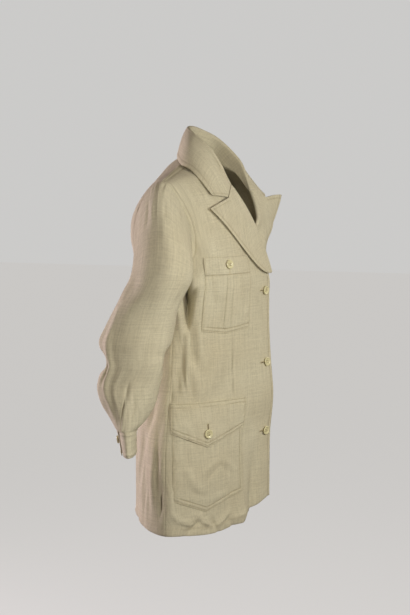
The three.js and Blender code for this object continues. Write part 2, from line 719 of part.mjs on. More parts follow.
// The collar's middle surface: u across from the seam to the edge, v from the left gorge over
// the middle of the back to the right one
function collarSurface( u, v ) {

	const ends = collarStations.length;
	const place = clamp( lerp( ends, - ends, v ), - ends + gorgeInset, ends - gorgeInset );
	const sectionAt = index => {

		const k = Math.min( Math.abs( index ), ends );
		const side = index > 0 ? 'left' : 'right';
		const point = k === ends ? gorgePoint( side, u ) : stationPoint( collarStations[ k ], u, side );
		if ( index < 0 ) point.x = - point.x;
		return point;

	};

	const i = clamp( Math.floor( place ), - ends, ends - 1 );
	const points = [ i - 1, i, i + 1, i + 2 ].map( k => sectionAt( clamp( k, - ends, ends ) ) );
	if ( i - 1 < - ends ) points[ 0 ] = points[ 1 ].clone().multiplyScalar( 2 ).sub( points[ 2 ] );
	if ( i + 2 > ends ) points[ 3 ] = points[ 2 ].clone().multiplyScalar( 2 ).sub( points[ 1 ] );
	const rows = points.map( p => ( { x: p.x, y: p.y, z: p.z } ) );
	const at = 1 + place - i;
	return vector( along( rows, 'x', at ), along( rows, 'y', at ), along( rows, 'z', at ) );

}

// Pockets, flaps and buttons

// The front panel by distance from the middle and height: the row is found by a few steps
function frontPlace( side, distance, height ) {

	let row = 3;
	let across = 0.5;
	for ( let i = 0; i < 12; i ++ ) {

		across = ( distance - along( frontRows, 'edgeX', row ) ) / rowCurve( frontRows, row ).getLength();
		const error = height - frontPoint( side, across, row ).z;
		const slope = ( frontPoint( side, across, row + 0.02 ).z - frontPoint( side, across, row - 0.02 ).z ) / 0.04;
		row = clamp( row + error / slope, 0.03, shoulderRow - 0.03 );

	}

	return { across, row };

}

function laidOnFront( side, distance, height, lift ) {

	const { across, row } = frontPlace( side, distance, height );
	const normal = normalOf( frontSurface( side ), across, row / shoulderRow );
	return frontPoint( side, across, row ).addScaledVector( normal, lift );

}

function frontNormal( side, distance, height ) {

	const { across, row } = frontPlace( side, distance, height );
	return normalOf( frontSurface( side ), across, row / shoulderRow );

}

const pocketBase = cloth / 2 + patchGap + pocketCloth / 2;

// Height of a pocket's middle surface over the panel
function pocketLift( pocket, across, up ) {

	return pocketBase + pocket.bulge * ( Math.sin( Math.PI * across ) * Math.sin( Math.PI * up ) ) ** 0.7;

}

// Height of a patch's pointed bottom at a share across it
function patchBottom( patch, across ) {

	const side = across < patch.pointAt ? patch.pointAt : 1 - patch.pointAt;
	return lerp( patch.point, patch.corner, Math.abs( across - patch.pointAt ) / side );

}

// A pointed patch: u from its inner to its outer edge, v from the bottom up
function patchPlace( patch, u, v ) {

	const bottom = patchBottom( patch, u );
	return { distance: lerp( patch.inner, patch.outer, u ), height: lerp( bottom, patch.top, v ) };

}

// Samples across a patch, with one at its point
const patchSteps = ( patch, count ) => steps( count ).map(
	s => s < 0.5 ? 2 * s * patch.pointAt : lerp( patch.pointAt, 1, 2 * s - 1 ) );

function pocketSurface( side, pocket ) {

	return ( u, v ) => {

		const { distance, height } = patchPlace( pocket, u, v );
		const across = clamp( u, 1e-4, 1 - 1e-4 );
		const up = clamp( v, 1e-4, 1 - 1e-4 );
		return laidOnFront( side, distance, height, pocketLift( pocket, across, up ) );

	};

}

// Height of the flap over the panel at a place: it lies on the pocket, and lands on the panel
function flapLift( distance, height ) {

	const across = clamp( ( distance - lowerPocket.inner ) / ( lowerPocket.outer - lowerPocket.inner ), 1e-4, 1 - 1e-4 );
	const corner = patchBottom( lowerPocket, across );
	const up = clamp( ( height - corner ) / ( lowerPocket.top - corner ), 1e-4, 1 - 1e-4 );
	const over = pocketLift( lowerPocket, across, up ) + pocketCloth + patchGap;
	const landed = smoothstep( height, lowerFlap.top - lowerFlap.landing, lowerFlap.top );
	return lerp( over, pocketBase, landed );

}

function flapSurface( side ) {

	return ( u, v ) => {

		const { distance, height } = patchPlace( lowerFlap, u, v );
		return laidOnFront( side, distance, height, flapLift( distance, height ) );

	};

}

// A round button with a raised rim and a dished middle, turned about Z and standing on z = 0
function buttonGeometry( radius ) {

	const dish = 0.55 * radius;
	const rim = 0.82 * radius;
	const profile = [
		[ 0, 0 ], [ 0.8 * radius, 0 ], [ radius, 0.4 * buttonHeight ], [ rim, buttonHeight ],
		[ dish, 0.68 * buttonHeight ], [ 0, 0.62 * buttonHeight ],
	];
	const points = profile.map( ( [ r, h ] ) => new THREE.Vector2( r, h ) );
	return new THREE.LatheGeometry( points, 14 ).rotateX( Math.PI / 2 );

}

// The assembly

const linen = new THREE.MeshStandardMaterial( { color: 0xc6b992, roughness: 0.9, metalness: 0 } );
const horn = new THREE.MeshStandardMaterial( { color: 0xd8cf9c, roughness: 0.35, metalness: 0 } );
const jacket = new THREE.Group();

function addPiece( name, geometry ) {

	const mesh = new THREE.Mesh( geometry, linen );
	mesh.name = name;
	jacket.add( mesh );

}

// A button lying at a point, its face along the normal. The thread is left out.
function addButton( name, radius, point, normal, mirror ) {

	const mesh = new THREE.Mesh( buttonGeometry( radius ), horn );
	mesh.name = name;
	const place = point.clone();
	const face = normal.clone();
	if ( mirror ) {

		place.x = - place.x;
		face.x = - face.x;

	}

	mesh.position.copy( place );
	mesh.quaternion.setFromUnitVectors( vector( 0, 0, 1 ), face );
	jacket.add( mesh );

}

for ( const side of [ 'right', 'left' ] ) {

	const mirror = side === 'right';
	addPiece( `front_${ side }`, frontGeometry( side, mirror ) );
	const knee = lerp( turnShare, 1, turned[ side ].notch.across / turned[ side ].lapelTip.across );
	addPiece( `lapel_${ side }`, wall( lapelSurface( side ),
		[ 0, ...spread( standShare, turnShare, 4 ), ...spread( turnShare, knee, 2 ).slice( 1 ), ...spread( knee, 1, 3 ).slice( 1 ) ],
		steps( 9 ), doubled, { mirror } ) );

	const sleeveDown = [ ...spread( 0, capShare, 6 ), ...spread( capShare, 1, 14 ).slice( 1 ) ];
	addPiece( `sleeve_${ side }`, wall( sleeveSurface, sleeveTurns, sleeveDown, cloth,
		{ tube: true, mirror } ) );
	addPiece( `cuff_${ side }`, wall( cuffSurface, steps( 22 ), steps( 2 ), cloth, { mirror } ) );

	addPiece( `pocket_chest_${ side }`, wall( pocketSurface( side, chestPocket ), patchSteps( chestPocket, 8 ), steps( 6 ),
		pocketCloth, { mirror } ) );
	addPiece( `pocket_lower_${ side }`, wall( pocketSurface( side, lowerPocket ), patchSteps( lowerPocket, 10 ), steps( 8 ),
		pocketCloth, { mirror } ) );
	addPiece( `flap_${ side }`, wall( flapSurface( side ), patchSteps( lowerFlap, 10 ), [ 0, 0.25, 0.5, 0.7, 0.85, 1 ],
		pocketCloth, { mirror } ) );

	const chestMiddle = lerp( chestPocket.inner, chestPocket.outer, chestPocket.pointAt );
	const chestHeight = chestPocket.top - chestButtonDrop;
	const chestUp = 1 - chestButtonDrop / ( chestPocket.top - chestPocket.point );
	const chestLift = pocketLift( chestPocket, chestPocket.pointAt, chestUp ) + pocketCloth / 2 + buttonGap;
	addButton( `button_chest_${ side }`, buttonRadius, laidOnFront( side, chestMiddle, chestHeight, chestLift ),
		frontNormal( side, chestMiddle, chestHeight ), mirror );

	const flapMiddle = lerp( lowerFlap.inner, lowerFlap.outer, lowerFlap.pointAt );
	const flapHeight = lowerFlap.point + flapButtonRise;
	const flapTop = flapLift( flapMiddle, flapHeight ) + pocketCloth / 2 + buttonGap;
	addButton( `button_flap_${ side }`, buttonRadius, laidOnFront( side, flapMiddle, flapHeight, flapTop ),
		frontNormal( side, flapMiddle, flapHeight ), mirror );

	const cuffPlace = { u: cuffOverlap / 2 / ( 1 + cuffOverlap ), v: 0.45 };
	const cuffNormal = normalOf( cuffSurface, cuffPlace.u, cuffPlace.v ).negate();
	addButton( `button_cuff_${ side }`, cuffButtonRadius,
		cuffSurface( cuffPlace.u, cuffPlace.v ).addScaledVector( cuffNormal, cloth / 2 + gap ), cuffNormal, mirror );

}

addPiece( 'back', wall( backSurface, insetSteps( 30, 2 * panelWidth ), rowShares, cloth ) );
const collarKnee = lerp( turnShare, 1, gorgeKnee );
addPiece( 'collar', wall( collarSurface, [
	...spread( 0, collarStand, 2 ), ...spread( collarStand, turnShare, 3 ).slice( 1 ),
	...spread( turnShare, collarKnee, 2 ).slice( 1 ), ...spread( collarKnee, 1, 3 ).slice( 1 ),
], steps( 24 ), doubled ) );

// The front buttons lie on the right front, over the middle line
frontButtonHeights.forEach( ( height, i ) => {

	addButton( `button_front_${ i + 1 }`, buttonRadius, laidOnFront( 'right', 0, height, cloth / 2 + buttonGap ),
		frontNormal( 'right', 0, height ), true );

} );

export default jacket;
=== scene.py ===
import math

import bpy
import numpy as np
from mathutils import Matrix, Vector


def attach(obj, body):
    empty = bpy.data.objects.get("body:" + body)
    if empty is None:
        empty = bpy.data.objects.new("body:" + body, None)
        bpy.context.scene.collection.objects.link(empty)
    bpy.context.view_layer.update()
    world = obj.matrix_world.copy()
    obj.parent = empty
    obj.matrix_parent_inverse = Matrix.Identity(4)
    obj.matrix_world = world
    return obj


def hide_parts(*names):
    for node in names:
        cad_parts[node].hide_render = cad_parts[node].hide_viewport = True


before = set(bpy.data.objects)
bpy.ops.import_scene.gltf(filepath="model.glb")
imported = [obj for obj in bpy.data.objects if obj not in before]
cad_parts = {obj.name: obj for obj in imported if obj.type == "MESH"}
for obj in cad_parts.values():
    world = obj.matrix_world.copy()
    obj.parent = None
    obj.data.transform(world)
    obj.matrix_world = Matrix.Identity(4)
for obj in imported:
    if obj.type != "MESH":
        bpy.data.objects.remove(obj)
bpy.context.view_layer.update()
print("frame loaded")

# A safari jacket of plain linen. Lengths are millimetres here and become metres in makeMesh.
# Pieces of one side are worked out as the left one, with x outward, and the right one is
# mirrored. A surface is an array of points over two parameters, u across and v up or along.

cut = {
    "gap": 0.3,  # at a seam
    "roll": 3.2,  # radius of the turn where collar and lapels fold over
    "rollStand": 2.5,
    "edgeFlare": 0.22,  # slope with which a front leaves its edge
    "wrapUnder": 17,  # the left front sinks behind the right one at its edge
    "wrapFoot": 18,  # and so much at the foot of the lapels
    "wrapWidth": 52,  # over so wide a strip
    "hemStart": -480,  # the hem's rise is eased in from here
    "hemHeight": -700,  # down to here
    "body": 1.5,  # thickness of the cloth
    "doubled": 2.0,  # of collar and lapels
    "pocket": 1.2,
}


def columns(names, rows):
    values = np.array(rows, float)
    return {name: values[:, i] for i, name in enumerate(names.split())}


rowNames = "edgeX edgeY edgeZ sideX sideY sideZ straight full"
frontRows = columns(rowNames, [
    [-19, -131, -700, 200, 8, -700, 0, 0.3],
    [-19, -131, -620, 201, 8, -620, 0, 0.3],
    [-19, -132, -540, 197, 8, -540, 0, 0.3],
    [-19, -138, -460, 184, 7, -460, 0, 0.33],
    [-19, -133, -390, 171, 6, -390, 0, 0.4],
    [-19, -129, -320, 167, 5, -320, 0, 0.48],
    [-18, -129, -262, 170, 5, -262, 0, 0.54],
    [-17, -129, -224, 172, 5, -215, 0, 0.57],
    [-3, -117, -170, 165, -28, -180, 0.15, 0.58],
    [22, -103, -118, 163, -34, -140, 0.35, 0.58],
    [45, -86, -75, 167, -25, -102, 0.55, 0.58],
    [62, -62, -38, 177, -12, -68, 0.75, 0.6],
    [74, -28, -14, 187, 2, -42, 0.9, 0.6],
    [78, 20, 0, 190, 17, -34, 1, 0.6],
])
backRows = columns(rowNames, [
    [0, 118, -700, 200, 8, -700, 0, 0.56],
    [0, 118, -620, 201, 8, -620, 0, 0.56],
    [0, 117, -540, 197, 8, -540, 0, 0.56],
    [0, 110, -460, 184, 7, -460, 0, 0.56],
    [0, 103, -390, 171, 6, -390, 0, 0.58],
    [0, 106, -320, 167, 5, -320, 0, 0.58],
    [0, 115, -262, 170, 5, -262, 0, 0.58],
    [0, 123, -215, 172, 5, -215, 0, 0.58],
    [0, 128, -172, 167, 44, -188, 0.05, 0.58],
    [0, 127, -128, 166, 70, -150, 0.1, 0.58],
    [0, 119, -85, 171, 74, -108, 0.2, 0.58],
    [0, 100, -45, 182, 56, -68, 0.4, 0.58],
    [0, 72, -8, 188, 33, -42, 0.65, 0.58],
    [0, 40, 19, 190, 17, -34, 0.9, 0.58],
])
underarmRow, shoulderRow = 7, 13

# Rise of the hem over its level line, at shares of the way from edge to side seam
frontHems = {
    "right": columns("at rise", [[0, 34], [0.27, 14], [0.34, -4], [0.6, -13], [1, -8]]),
    "left": columns("at rise", [[0, 44], [0.3, 30], [0.42, 6], [0.62, -12], [1, -8]]),
}
backHem = columns("at rise", [[0, 26], [0.3, 24], [0.55, 6], [1, -8]])

# The largest folds: at is the share across at the top, drift how far it moves on the way down
foldNames = "at drift half top bottom rise"
frontFolds = {
    "right": columns(foldNames, [
        [0.215, -0.02, 0.045, -540, -960, -9],
        [0.34, 0, 0.06, -520, -960, 6],
        [0.86, 0.01, 0.04, -300, -452, 6],
        [0.93, 0, 0.04, -290, -450, -7],
        [0.62, 0.05, 0.06, -330, -450, 4],
        [0.75, -0.12, 0.05, -160, -300, -4],
    ]),
    "left": columns(foldNames, [
        [0.24, -0.03, 0.05, -530, -960, -8],
        [0.38, 0.01, 0.06, -520, -960, 6],
        [0.84, 0.02, 0.045, -305, -452, 6],
        [0.92, 0, 0.04, -290, -450, -6],
        [0.58, 0.04, 0.06, -320, -450, 4],
        [0.72, -0.1, 0.05, -165, -300, -3],
    ]),
}
backFolds = {
    "right": columns(foldNames, [
        [0.16, -0.03, 0.07, -500, -960, -9],
        [0.42, 0.03, 0.08, -430, -960, 6],
        [0.72, 0.04, 0.06, -480, -660, -6],
        [0.62, -0.12, 0.07, -210, -420, 5],
        [0.85, -0.16, 0.06, -190, -380, -6],
    ]),
    "left": columns(foldNames, [
        [0.22, -0.02, 0.07, -520, -960, -7],
        [0.48, 0.02, 0.08, -420, -960, 7],
        [0.77, 0.02, 0.06, -470, -680, -6],
        [0.58, -0.1, 0.07, -220, -430, 5],
        [0.83, -0.14, 0.06, -185, -370, -6],
    ]),
}
foldEnds = 0.35

# Creases, finer than the folds: middle, direction in degrees from level, half length, half
# width, rise over the cloth, and how far the ends bend aside
creaseNames = "x z turn long half rise bend"
frontCreases = {
    "right": columns(creaseNames, [
        [208, -238, 82, 60, 7, -82, 4],
        [196, -276, 96, 46, 6, -34, 3],
        [222, -262, 74, 40, 5, 8, 3],
        [210, -320, 86, 66, 7, 5, -6],
        [188, -345, 86, 58, 9, -10, 5],
        [176, -420, 88, 60, 12, 2, 3],
        [172, -352, 84, 46, 9, 3.5, 4],
        [186, -150, 80, 36, 6, -3, 5],
        [150, -196, 68, 40, 8, 1.8, 6],
        [212, -400, 88, 52, 7, 4, 3],
        [204, -418, 88, 36, 3, -3, 2],
        [193, -415, 87, 44, 3.5, -4, 2],
        [180, -410, 85, 40, 7, 2.6, -3],
        [238, -430, 86, 40, 8, -4, 4],
        [128, -384, 78, 55, 9, 1.6, 6],
        [88, -372, 82, 60, 10, -1.2, -5],
        [58, -330, 74, 46, 8, 0.9, 5],
        [40, -470, 80, 60, 9, -1.2, 4],
        [46, -590, 84, 70, 9, 1.4, -4],
        [28, -640, 70, 44, 7, -1.3, 5],
        [212, -682, 28, 34, 5, 4.2, 4],
        [190, -694, -34, 38, 4.5, -4.4, -3],
        [168, -686, 38, 34, 4.5, 4.6, 4],
        [140, -700, 58, 30, 4, -4, 2],
        [120, -690, -36, 36, 4.5, 4.2, 3],
        [98, -702, 54, 26, 4.5, -3.4, 2],
        [76, -688, -22, 28, 6, 3.2, 4],
        [156, -713, 6, 44, 4, 2.4, 2],
        [222, -660, 74, 34, 5, -3, 3],
        [234, -640, 80, 40, 6, 2.6, -3],
        [120, -66, 38, 46, 9, 1.4, 5],
        [92, -108, 50, 40, 9, -1.2, -5],
    ]),
    "left": columns(creaseNames, [
        [180, -258, 84, 60, 6, -6, 5],
        [194, -280, 86, 66, 7, 4.6, -5],
        [170, -228, 60, 36, 5, 2.4, 4],
        [150, -192, 70, 38, 8, 1.5, 6],
        [203, -400, 87, 50, 4.5, 3, 3],
        [190, -396, 88, 46, 5, -3.2, 2],
        [132, -388, 80, 52, 9, 1.5, -6],
        [84, -366, 84, 62, 10, -1.1, 5],
        [52, -420, 76, 50, 8, 1, 5],
        [44, -560, 82, 70, 9, -1.4, 4],
        [30, -636, 72, 46, 7, 1.3, 5],
        [206, -694, -22, 28, 6, 2, 4],
        [176, -702, 30, 26, 5, -2.4, -3],
        [146, -694, -40, 28, 6, 2.2, 4],
        [112, -704, 52, 24, 5, -2, 2],
        [80, -692, 20, 26, 7, 1.8, 4],
        [116, -70, 42, 44, 9, 1.3, 5],
        [90, -104, 52, 42, 9, -1.1, -5],
    ]),
}
backCreases = {
    "right": columns(creaseNames, [
        [120, -640, 84, 66, 8, -3.4, 5],
        [142, -628, 86, 72, 9, 2.8, -4],
        [168, -580, 82, 80, 7, -2.6, 5],
        [182, -610, 88, 76, 5, 2.4, -3],
        [196, -640, 84, 52, 4, -2.4, 3],
        [208, -626, 95, 66, 4.5, -3, 3],
        [220, -600, 92, 70, 6, 2.4, -3],
        [231, -578, 94, 84, 5, -3.4, 4],
        [242, -640, 86, 50, 4, -2, 3],
        [240, -480, 88, 50, 8, 3, 3],
        [196, -480, 84, 60, 9, -4, 5],
        [62, -660, 80, 46, 7, -2.6, 4],
        [30, -430, 80, 60, 10, -1.2, 5],
        [150, -250, 52, 54, 8, -3, 6],
        [118, -232, 40, 50, 9, 2, 5],
        [160, -330, 60, 46, 8, 2.2, -5],
        [96, -150, 24, 60, 12, 1.4, 6],
        [40, -96, 10, 40, 10, -1, 4],
        [176, -420, 70, 44, 7, -2.4, 4],
        [104, -690, 30, 26, 6, 2, 3],
        [150, -700, -28, 28, 5, -2, 3],
    ]),
    "left": columns(creaseNames, [
        [110, -646, 86, 62, 6, -3, 5],
        [134, -622, 84, 70, 7, 2.4, -4],
        [172, -566, 80, 58, 6, -2, 5],
        [58, -654, 82, 50, 7, 2.2, 4],
        [24, -520, 84, 70, 10, 1.1, 5],
        [148, -246, 50, 52, 8, -2.8, 6],
        [112, -228, 38, 48, 9, 1.9, 5],
        [158, -336, 62, 44, 8, 2, -5],
        [92, -146, 22, 58, 12, 1.3, 6],
        [170, -426, 72, 42, 7, -2.2, 4],
        [98, -694, -30, 28, 6, 1.8, 3],
        [152, -698, 26, 26, 5, -2, 3],
    ]),
}

ringNames = "x y z across deep twist"
sleeveRings = columns(ringNames, [
    [222, 11, -222, 44, 59, 5],
    [230, 32, -266, 45, 59, 11],
    [238, 43, -305, 46, 65, 15],
    [243, 47, -330, 46, 70, 16],
    [246, 49, -352, 45, 63, 16],
    [248, 48, -372, 44, 58, 16],
    [251, 60, -408, 43, 58, 16],
    [254, 58, -446, 44, 47, 17],
    [256, 58, -474, 46, 32, 19],
    [256, 61, -490, 50, 20, 19],
])
cuffRings = columns(ringNames, [
    [256, 61.5, -490.8, 51, 18, 20],
    [257, 59.5, -514, 51.5, 15.5, 20],
    [258, 57, -537, 52, 13.5, 20],
])
sleeveFolds = columns(foldNames, [
    [78, 20, 22, -290, -400, -8],
    [268, 0, 20, -340, -392, -6],
    [304, -18, 18, -330, -480, 5],
    [20, 12, 20, -120, -300, 4],
    [300, 20, 22, -120, -280, -5],
])
# The sleeve's creases: x is the turn round it in degrees, 0 outward and 90 forward
sleeveCreases = columns(creaseNames, [
    [262, -366, 88, 26, 6, -6, 3],
    [276, -408, 84, 22, 5, -4, 3],
    [238, -352, 30, 24, 7, 4, 4],
    [244, -398, -20, 22, 6, 3.4, 4],
    [250, -430, 62, 30, 6, -2.6, 4],
    [317, -372, 93, 130, 7, 5, 3],
    [290, -340, 91, 110, 16, -6, 3],
    [309, -384, 100, 38, 4, -5, 2],
    [2, -416, 80, 22, 4, -1.8, 2],
    [12, -418, 80, 26, 6, 1.6, 2],
    [20, -330, 88, 90, 10, -1.4, 6],
    [48, -280, 84, 70, 9, 1.6, -6],
    [70, -236, 80, 50, 8, -2, 5],
    [92, -320, 70, 36, 8, 2.4, 5],
    [104, -356, 60, 30, 7, -2.4, 4],
    [60, -392, 82, 44, 7, 2, 4],
    [338, -420, 88, 56, 6, 1.6, -4],
    [16, -440, 86, 40, 6, -1.6, 4],
    [180, -330, 50, 40, 9, 2, 5],
    [200, -280, 70, 50, 10, -1.8, 5],
    [150, -250, 60, 40, 9, 1.6, -5],
    [10, -120, 84, 40, 8, 1.2, 4],
    [338, -96, 82, 34, 4, -2, 3],
    [350, -88, 86, 30, 4, 1.6, -2],
    [322, -108, 78, 34, 4, -1.6, 3],
    [14, -84, 88, 26, 4, -1.5, 2],
    [26, -92, 84, 28, 4, 1.4, -2],
    [300, -140, 76, 44, 6, -1.6, 5],
])
sleeveRadius = 58  # turns the sleeve's degrees into millimetres

stationNames = "seamX seamY seamZ foldX foldY foldZ bowX bowY bowZ edgeX edgeY edgeZ leftDrop"
collarStations = columns(stationNames, [
    [0, 39.5, 21, 0, 27, 73, 0, 40, 56, 0, 49, 22, 0],
    [36, 34.5, 16.5, 35, 21, 69, 44, 32, 53, 46, 41, 16, 1],
    [77, 19, 2.2, 63, -4, 55, 85, 7, 40.5, 92, 17, -0.6, 4],
    [74, -10, -5, 71, -35, 31, 95, -24, 22.5, 109, -12, -13.2, 9],
    [66, -42, -20, 67, -58, -4, 93, -54, -7, 116, -36, -35, 2],
])

breakRow = 7.15  # where the lapels leave the buttoned edge
lapelFoot, lapelCurve, rollLength = 0.03, 0.62, 110
# Where the turned pieces lie on the chest: share across and row
turned = {
    "right": {
        "gorgeRow": 10.75, "notch": (0.21, 10.27), "lapelTip": (0.64, 10.1), "collarTip": (0.46, 10.62),
    },
    "left": {
        "gorgeRow": 10.45, "notch": (0.21, 9.9), "lapelTip": (0.58, 9.95), "collarTip": (0.42, 10.35),
    },
}
# How they lie: degrees by which each stands open, then heights over the chest and roll radius
stance = {
    "right": {
        "lapel": 3, "notch": 3, "collar": 2, "curve": 1, "footLift": 7, "lift": 3.6, "footRoll": 3.2,
        "droop": 0,
    },
    "left": {
        "lapel": 54, "notch": 50, "collar": 23, "curve": 2, "footLift": 3.2, "lift": 3.6, "footRoll": 1.9,
        "droop": 12,
    },
}
# Shares across lapel and collar: flat beside the seam, then the turn, then what lies on the chest
standShare, turnShare, collarStand, gorgeKnee = 0.08, 0.34, 0.24, 0.4

# Millimetres from the middle line and over the neck; the bottom's point is a share across
chestPocket = {
    "inner": 52, "outer": 169, "top": -178, "corner": -318, "point": -325, "pointAt": 0.53, "bulge": 2.5,
}
lowerPocket = {
    "inner": 70, "outer": 233, "top": -468, "corner": -640, "point": -668, "pointAt": 0.56, "bulge": 4,
}
lowerFlap = {
    "inner": 68, "outer": 235, "top": -454, "corner": -510, "point": -541, "pointAt": 0.56, "landing": 12,
}
patchBase = 1.45  # height of a pocket's middle over the panel's middle


# Small helpers

flip = np.array([-1, 1, 1])  # mirrors a point from the left side to the right one


def lerp(a, b, t):
    return a + (b - a) * t


def smooth(x, low, high):  # 0 below low, 1 above high, eased between
    t = np.clip((np.asarray(x, float) - low) / (high - low), 0, 1)
    return t * t * (3 - 2 * t)


def unit(a):
    return a / np.maximum(np.linalg.norm(a, axis=-1, keepdims=True), 1e-12)


def xyz(x, y, z):
    return np.stack(np.broadcast_arrays(x, y, z), -1).astype(float)


def turnAbout(a, axis, angle):  # Rodrigues' formula
    c, s = np.cos(angle)[..., None], np.sin(angle)[..., None]
    return a * c + np.cross(axis, a) * s + axis * (axis * a).sum(-1, keepdims=True) * (1 - c)


def gridNormals(points, tube=False):  # cross product of the differences along the two directions
    if tube:
        across = np.roll(points, -1, 1) - np.roll(points, 1, 1)
    else:
        across = np.gradient(points, axis=1)
    return unit(np.cross(across, np.gradient(points, axis=0)))


def catmullRom(a, b, c, d, t):  # the curve from b to c, at the share t
    return b + 0.5 * t * (c - a + t * (2 * a - 5 * b + 4 * c - d + t * (3 * (b - c) + d - a)))


def along(rows, name, row):  # Catmull-Rom through a column, with a corner at the underarm for sides
    values = rows[name]
    last = len(values) - 1
    corner = underarmRow if name.startswith("side") else -9
    i = np.clip(np.floor(row).astype(int), 0, last - 1)
    t = row - i
    b, c = values[i], values[i + 1]
    a = np.where((i > 0) & (i != corner), values[np.maximum(i - 1, 0)], 2 * b - c)
    d = np.where((i + 2 <= last) & (i + 1 != corner), values[np.minimum(i + 2, last)], 2 * c - b)
    return catmullRom(a, b, c, d, t)


def eased(table, at):  # a table of places and rises, eased between its rows
    i = np.clip(np.searchsorted(table["at"], at, side="right") - 1, 0, len(table["at"]) - 2)
    share = smooth((at - table["at"][i]) / (table["at"][i + 1] - table["at"][i]), 0, 1)
    return lerp(table["rise"][i], table["rise"][i + 1], share)


def foldRise(folds, at, height, whole=0):  # sum of bells across each fold, eased in and out lengthwise
    total = np.zeros(np.broadcast(at, height).shape)
    for place, drift, half, top, bottom, rise in zip(*(folds[name] for name in foldNames.split())):
        share = (top - height) / (top - bottom)
        away = at - place - drift * share
        if whole:
            away = away - whole * np.round(away / whole)
        ends = smooth(share, 0, foldEnds) * smooth(1 - share, 0, foldEnds)
        total += rise * ends * np.exp(-(away / half) ** 2)
    return total


def creaseRise(creases, x, z, whole=0):  # sum of bells across each crease's bent line, faded to its ends
    total = np.zeros(np.broadcast(x, z).shape)
    for cx, cz, turn, long, half, rise, bend in zip(*(creases[name] for name in creaseNames.split())):
        dx, dz = x - cx, z - cz
        if whole:
            dx = dx - whole * np.round(dx / whole)
        c, s = math.cos(math.radians(turn)), math.sin(math.radians(turn))
        far = (dx * c + dz * s) / long
        off = -dx * s + dz * c - bend * far ** 2
        total += rise * np.exp(-(off / half) ** 2) * np.clip(1 - far ** 2, 0, 1) ** 1.5
    return total


def rumple(x, z, size, seed, whole=0):  # smooth random unevenness: eased value noise from -1 to 1
    values = np.random.default_rng(seed).uniform(-1, 1, (64, 64))
    period = max(round(whole / size), 1) if whole else 64
    gx, gz = x / size, z / size
    i, j = np.floor(gx).astype(int), np.floor(gz).astype(int)
    fx, fz = smooth(gx - i, 0, 1), smooth(gz - j, 0, 1)

    def at(a, b):
        return values[(a % period) % 64, b % 64]

    return lerp(lerp(at(i, j), at(i + 1, j), fx), lerp(at(i, j + 1), at(i + 1, j + 1), fx), fz)


def unevenness(x, z, seed, amount=1.0, whole=0):
    coarse = rumple(x, z, 46, seed, whole) * 0.75 + rumple(x + 17, z + 5, 21, seed + 1, whole) * 0.32
    return amount * (coarse + rumple(x + 3, z + 9, 9, seed + 2, whole) * 0.1)


# Body panels. A row is a cubic Bezier from its edge to its side, walked by its length.

arcRows, arcSteps = 40, 128


def controls(panel, row):
    rows, flare = panel["rows"], panel["flare"]
    value = {name: along(rows, name, row) for name in rowNames.split()}
    edge = xyz(value["edgeX"], value["edgeY"], value["edgeZ"])
    side = xyz(value["sideX"], value["sideY"], value["sideZ"])
    straight, full = value["straight"][..., None], value["full"][..., None]
    chord = side - edge
    plain = chord * 0.55 * straight
    out = (1 - straight) * chord[..., :1] * np.array([1, flare, 0]) + plain
    back = (1 - straight) * chord[..., 1:2] * np.array([0, -1, 0]) - plain
    return edge, edge + out * full, side + back * full, side


def bezier(points, t):
    a, b, c, d = points
    t = t[..., None]
    return a * (1 - t) ** 3 + 3 * b * t * (1 - t) ** 2 + 3 * c * t * t * (1 - t) + d * t ** 3


def makePanel(rows, flare):
    panel = {"rows": rows, "flare": flare}
    row = np.linspace(0, shoulderRow, shoulderRow * arcRows + 1)
    t = np.linspace(0, 1, 2 * arcSteps + 1)
    points = bezier([p[:, None] for p in controls(panel, row)], np.broadcast_to(t, (len(row), len(t))))
    walked = np.cumsum(np.linalg.norm(np.diff(points, axis=1), axis=-1), axis=1)
    walked = np.concatenate([np.zeros((len(row), 1)), walked], 1)
    shares = np.linspace(0, 1, arcSteps + 1)
    panel["length"] = walked[:, -1]
    panel["t"] = np.array([np.interp(shares, w / w[-1], t) for w in walked])
    return panel


def rowLength(panel, row):
    return np.interp(row * arcRows, np.arange(len(panel["length"])), panel["length"])


def panelPoint(panel, across, row):
    x = np.clip(across, 0, 1) * arcSteps
    y = np.clip(row, 0, shoulderRow) * arcRows
    i, j = np.minimum(x.astype(int), arcSteps - 1), np.minimum(y.astype(int), shoulderRow * arcRows - 1)
    fx, fy, t = x - i, y - j, panel["t"]
    t = lerp(lerp(t[j, i], t[j, i + 1], fx), lerp(t[j + 1, i], t[j + 1, i + 1], fx), fy)
    return bezier(controls(panel, row), t)


def shaped(point, at, hem, folds):  # a panel's point moved by the large folds and by the hem's rise
    height = point[..., 2].copy()
    away = unit(xyz(point[..., 0], 1.6 * point[..., 1], 0))
    rise = foldRise(folds, at, height) * smooth(at, 0, 0.08) * smooth(1 - at, 0, 0.05)
    point = point + away * rise[..., None]
    fall = smooth(cut["hemStart"] - height, 0, cut["hemStart"] - cut["hemHeight"])
    point[..., 2] += eased(hem, at) * fall
    return point


frontPanel = makePanel(frontRows, cut["edgeFlare"])
backPanel = makePanel(backRows, 0)


def frontPoint(side, across, row):  # on the front without creases; the left one dives under the right
    across, row = np.broadcast_arrays(np.asarray(across, float), np.asarray(row, float))
    point = shaped(panelPoint(frontPanel, across, row), across, frontHems[side], frontFolds[side])
    if side == "left":
        near = smooth(cut["wrapWidth"] - across * rowLength(frontPanel, row), 0, cut["wrapWidth"])
        buttoned = cut["wrapUnder"] * (1 - smooth(row, breakRow, breakRow + 1.2))
        foot = cut["wrapFoot"] * smooth(row, 6, breakRow) * (1 - smooth(row, 8.3, 9.3))
        point[..., 1] += near * np.maximum(buttoned, foot)
    return point


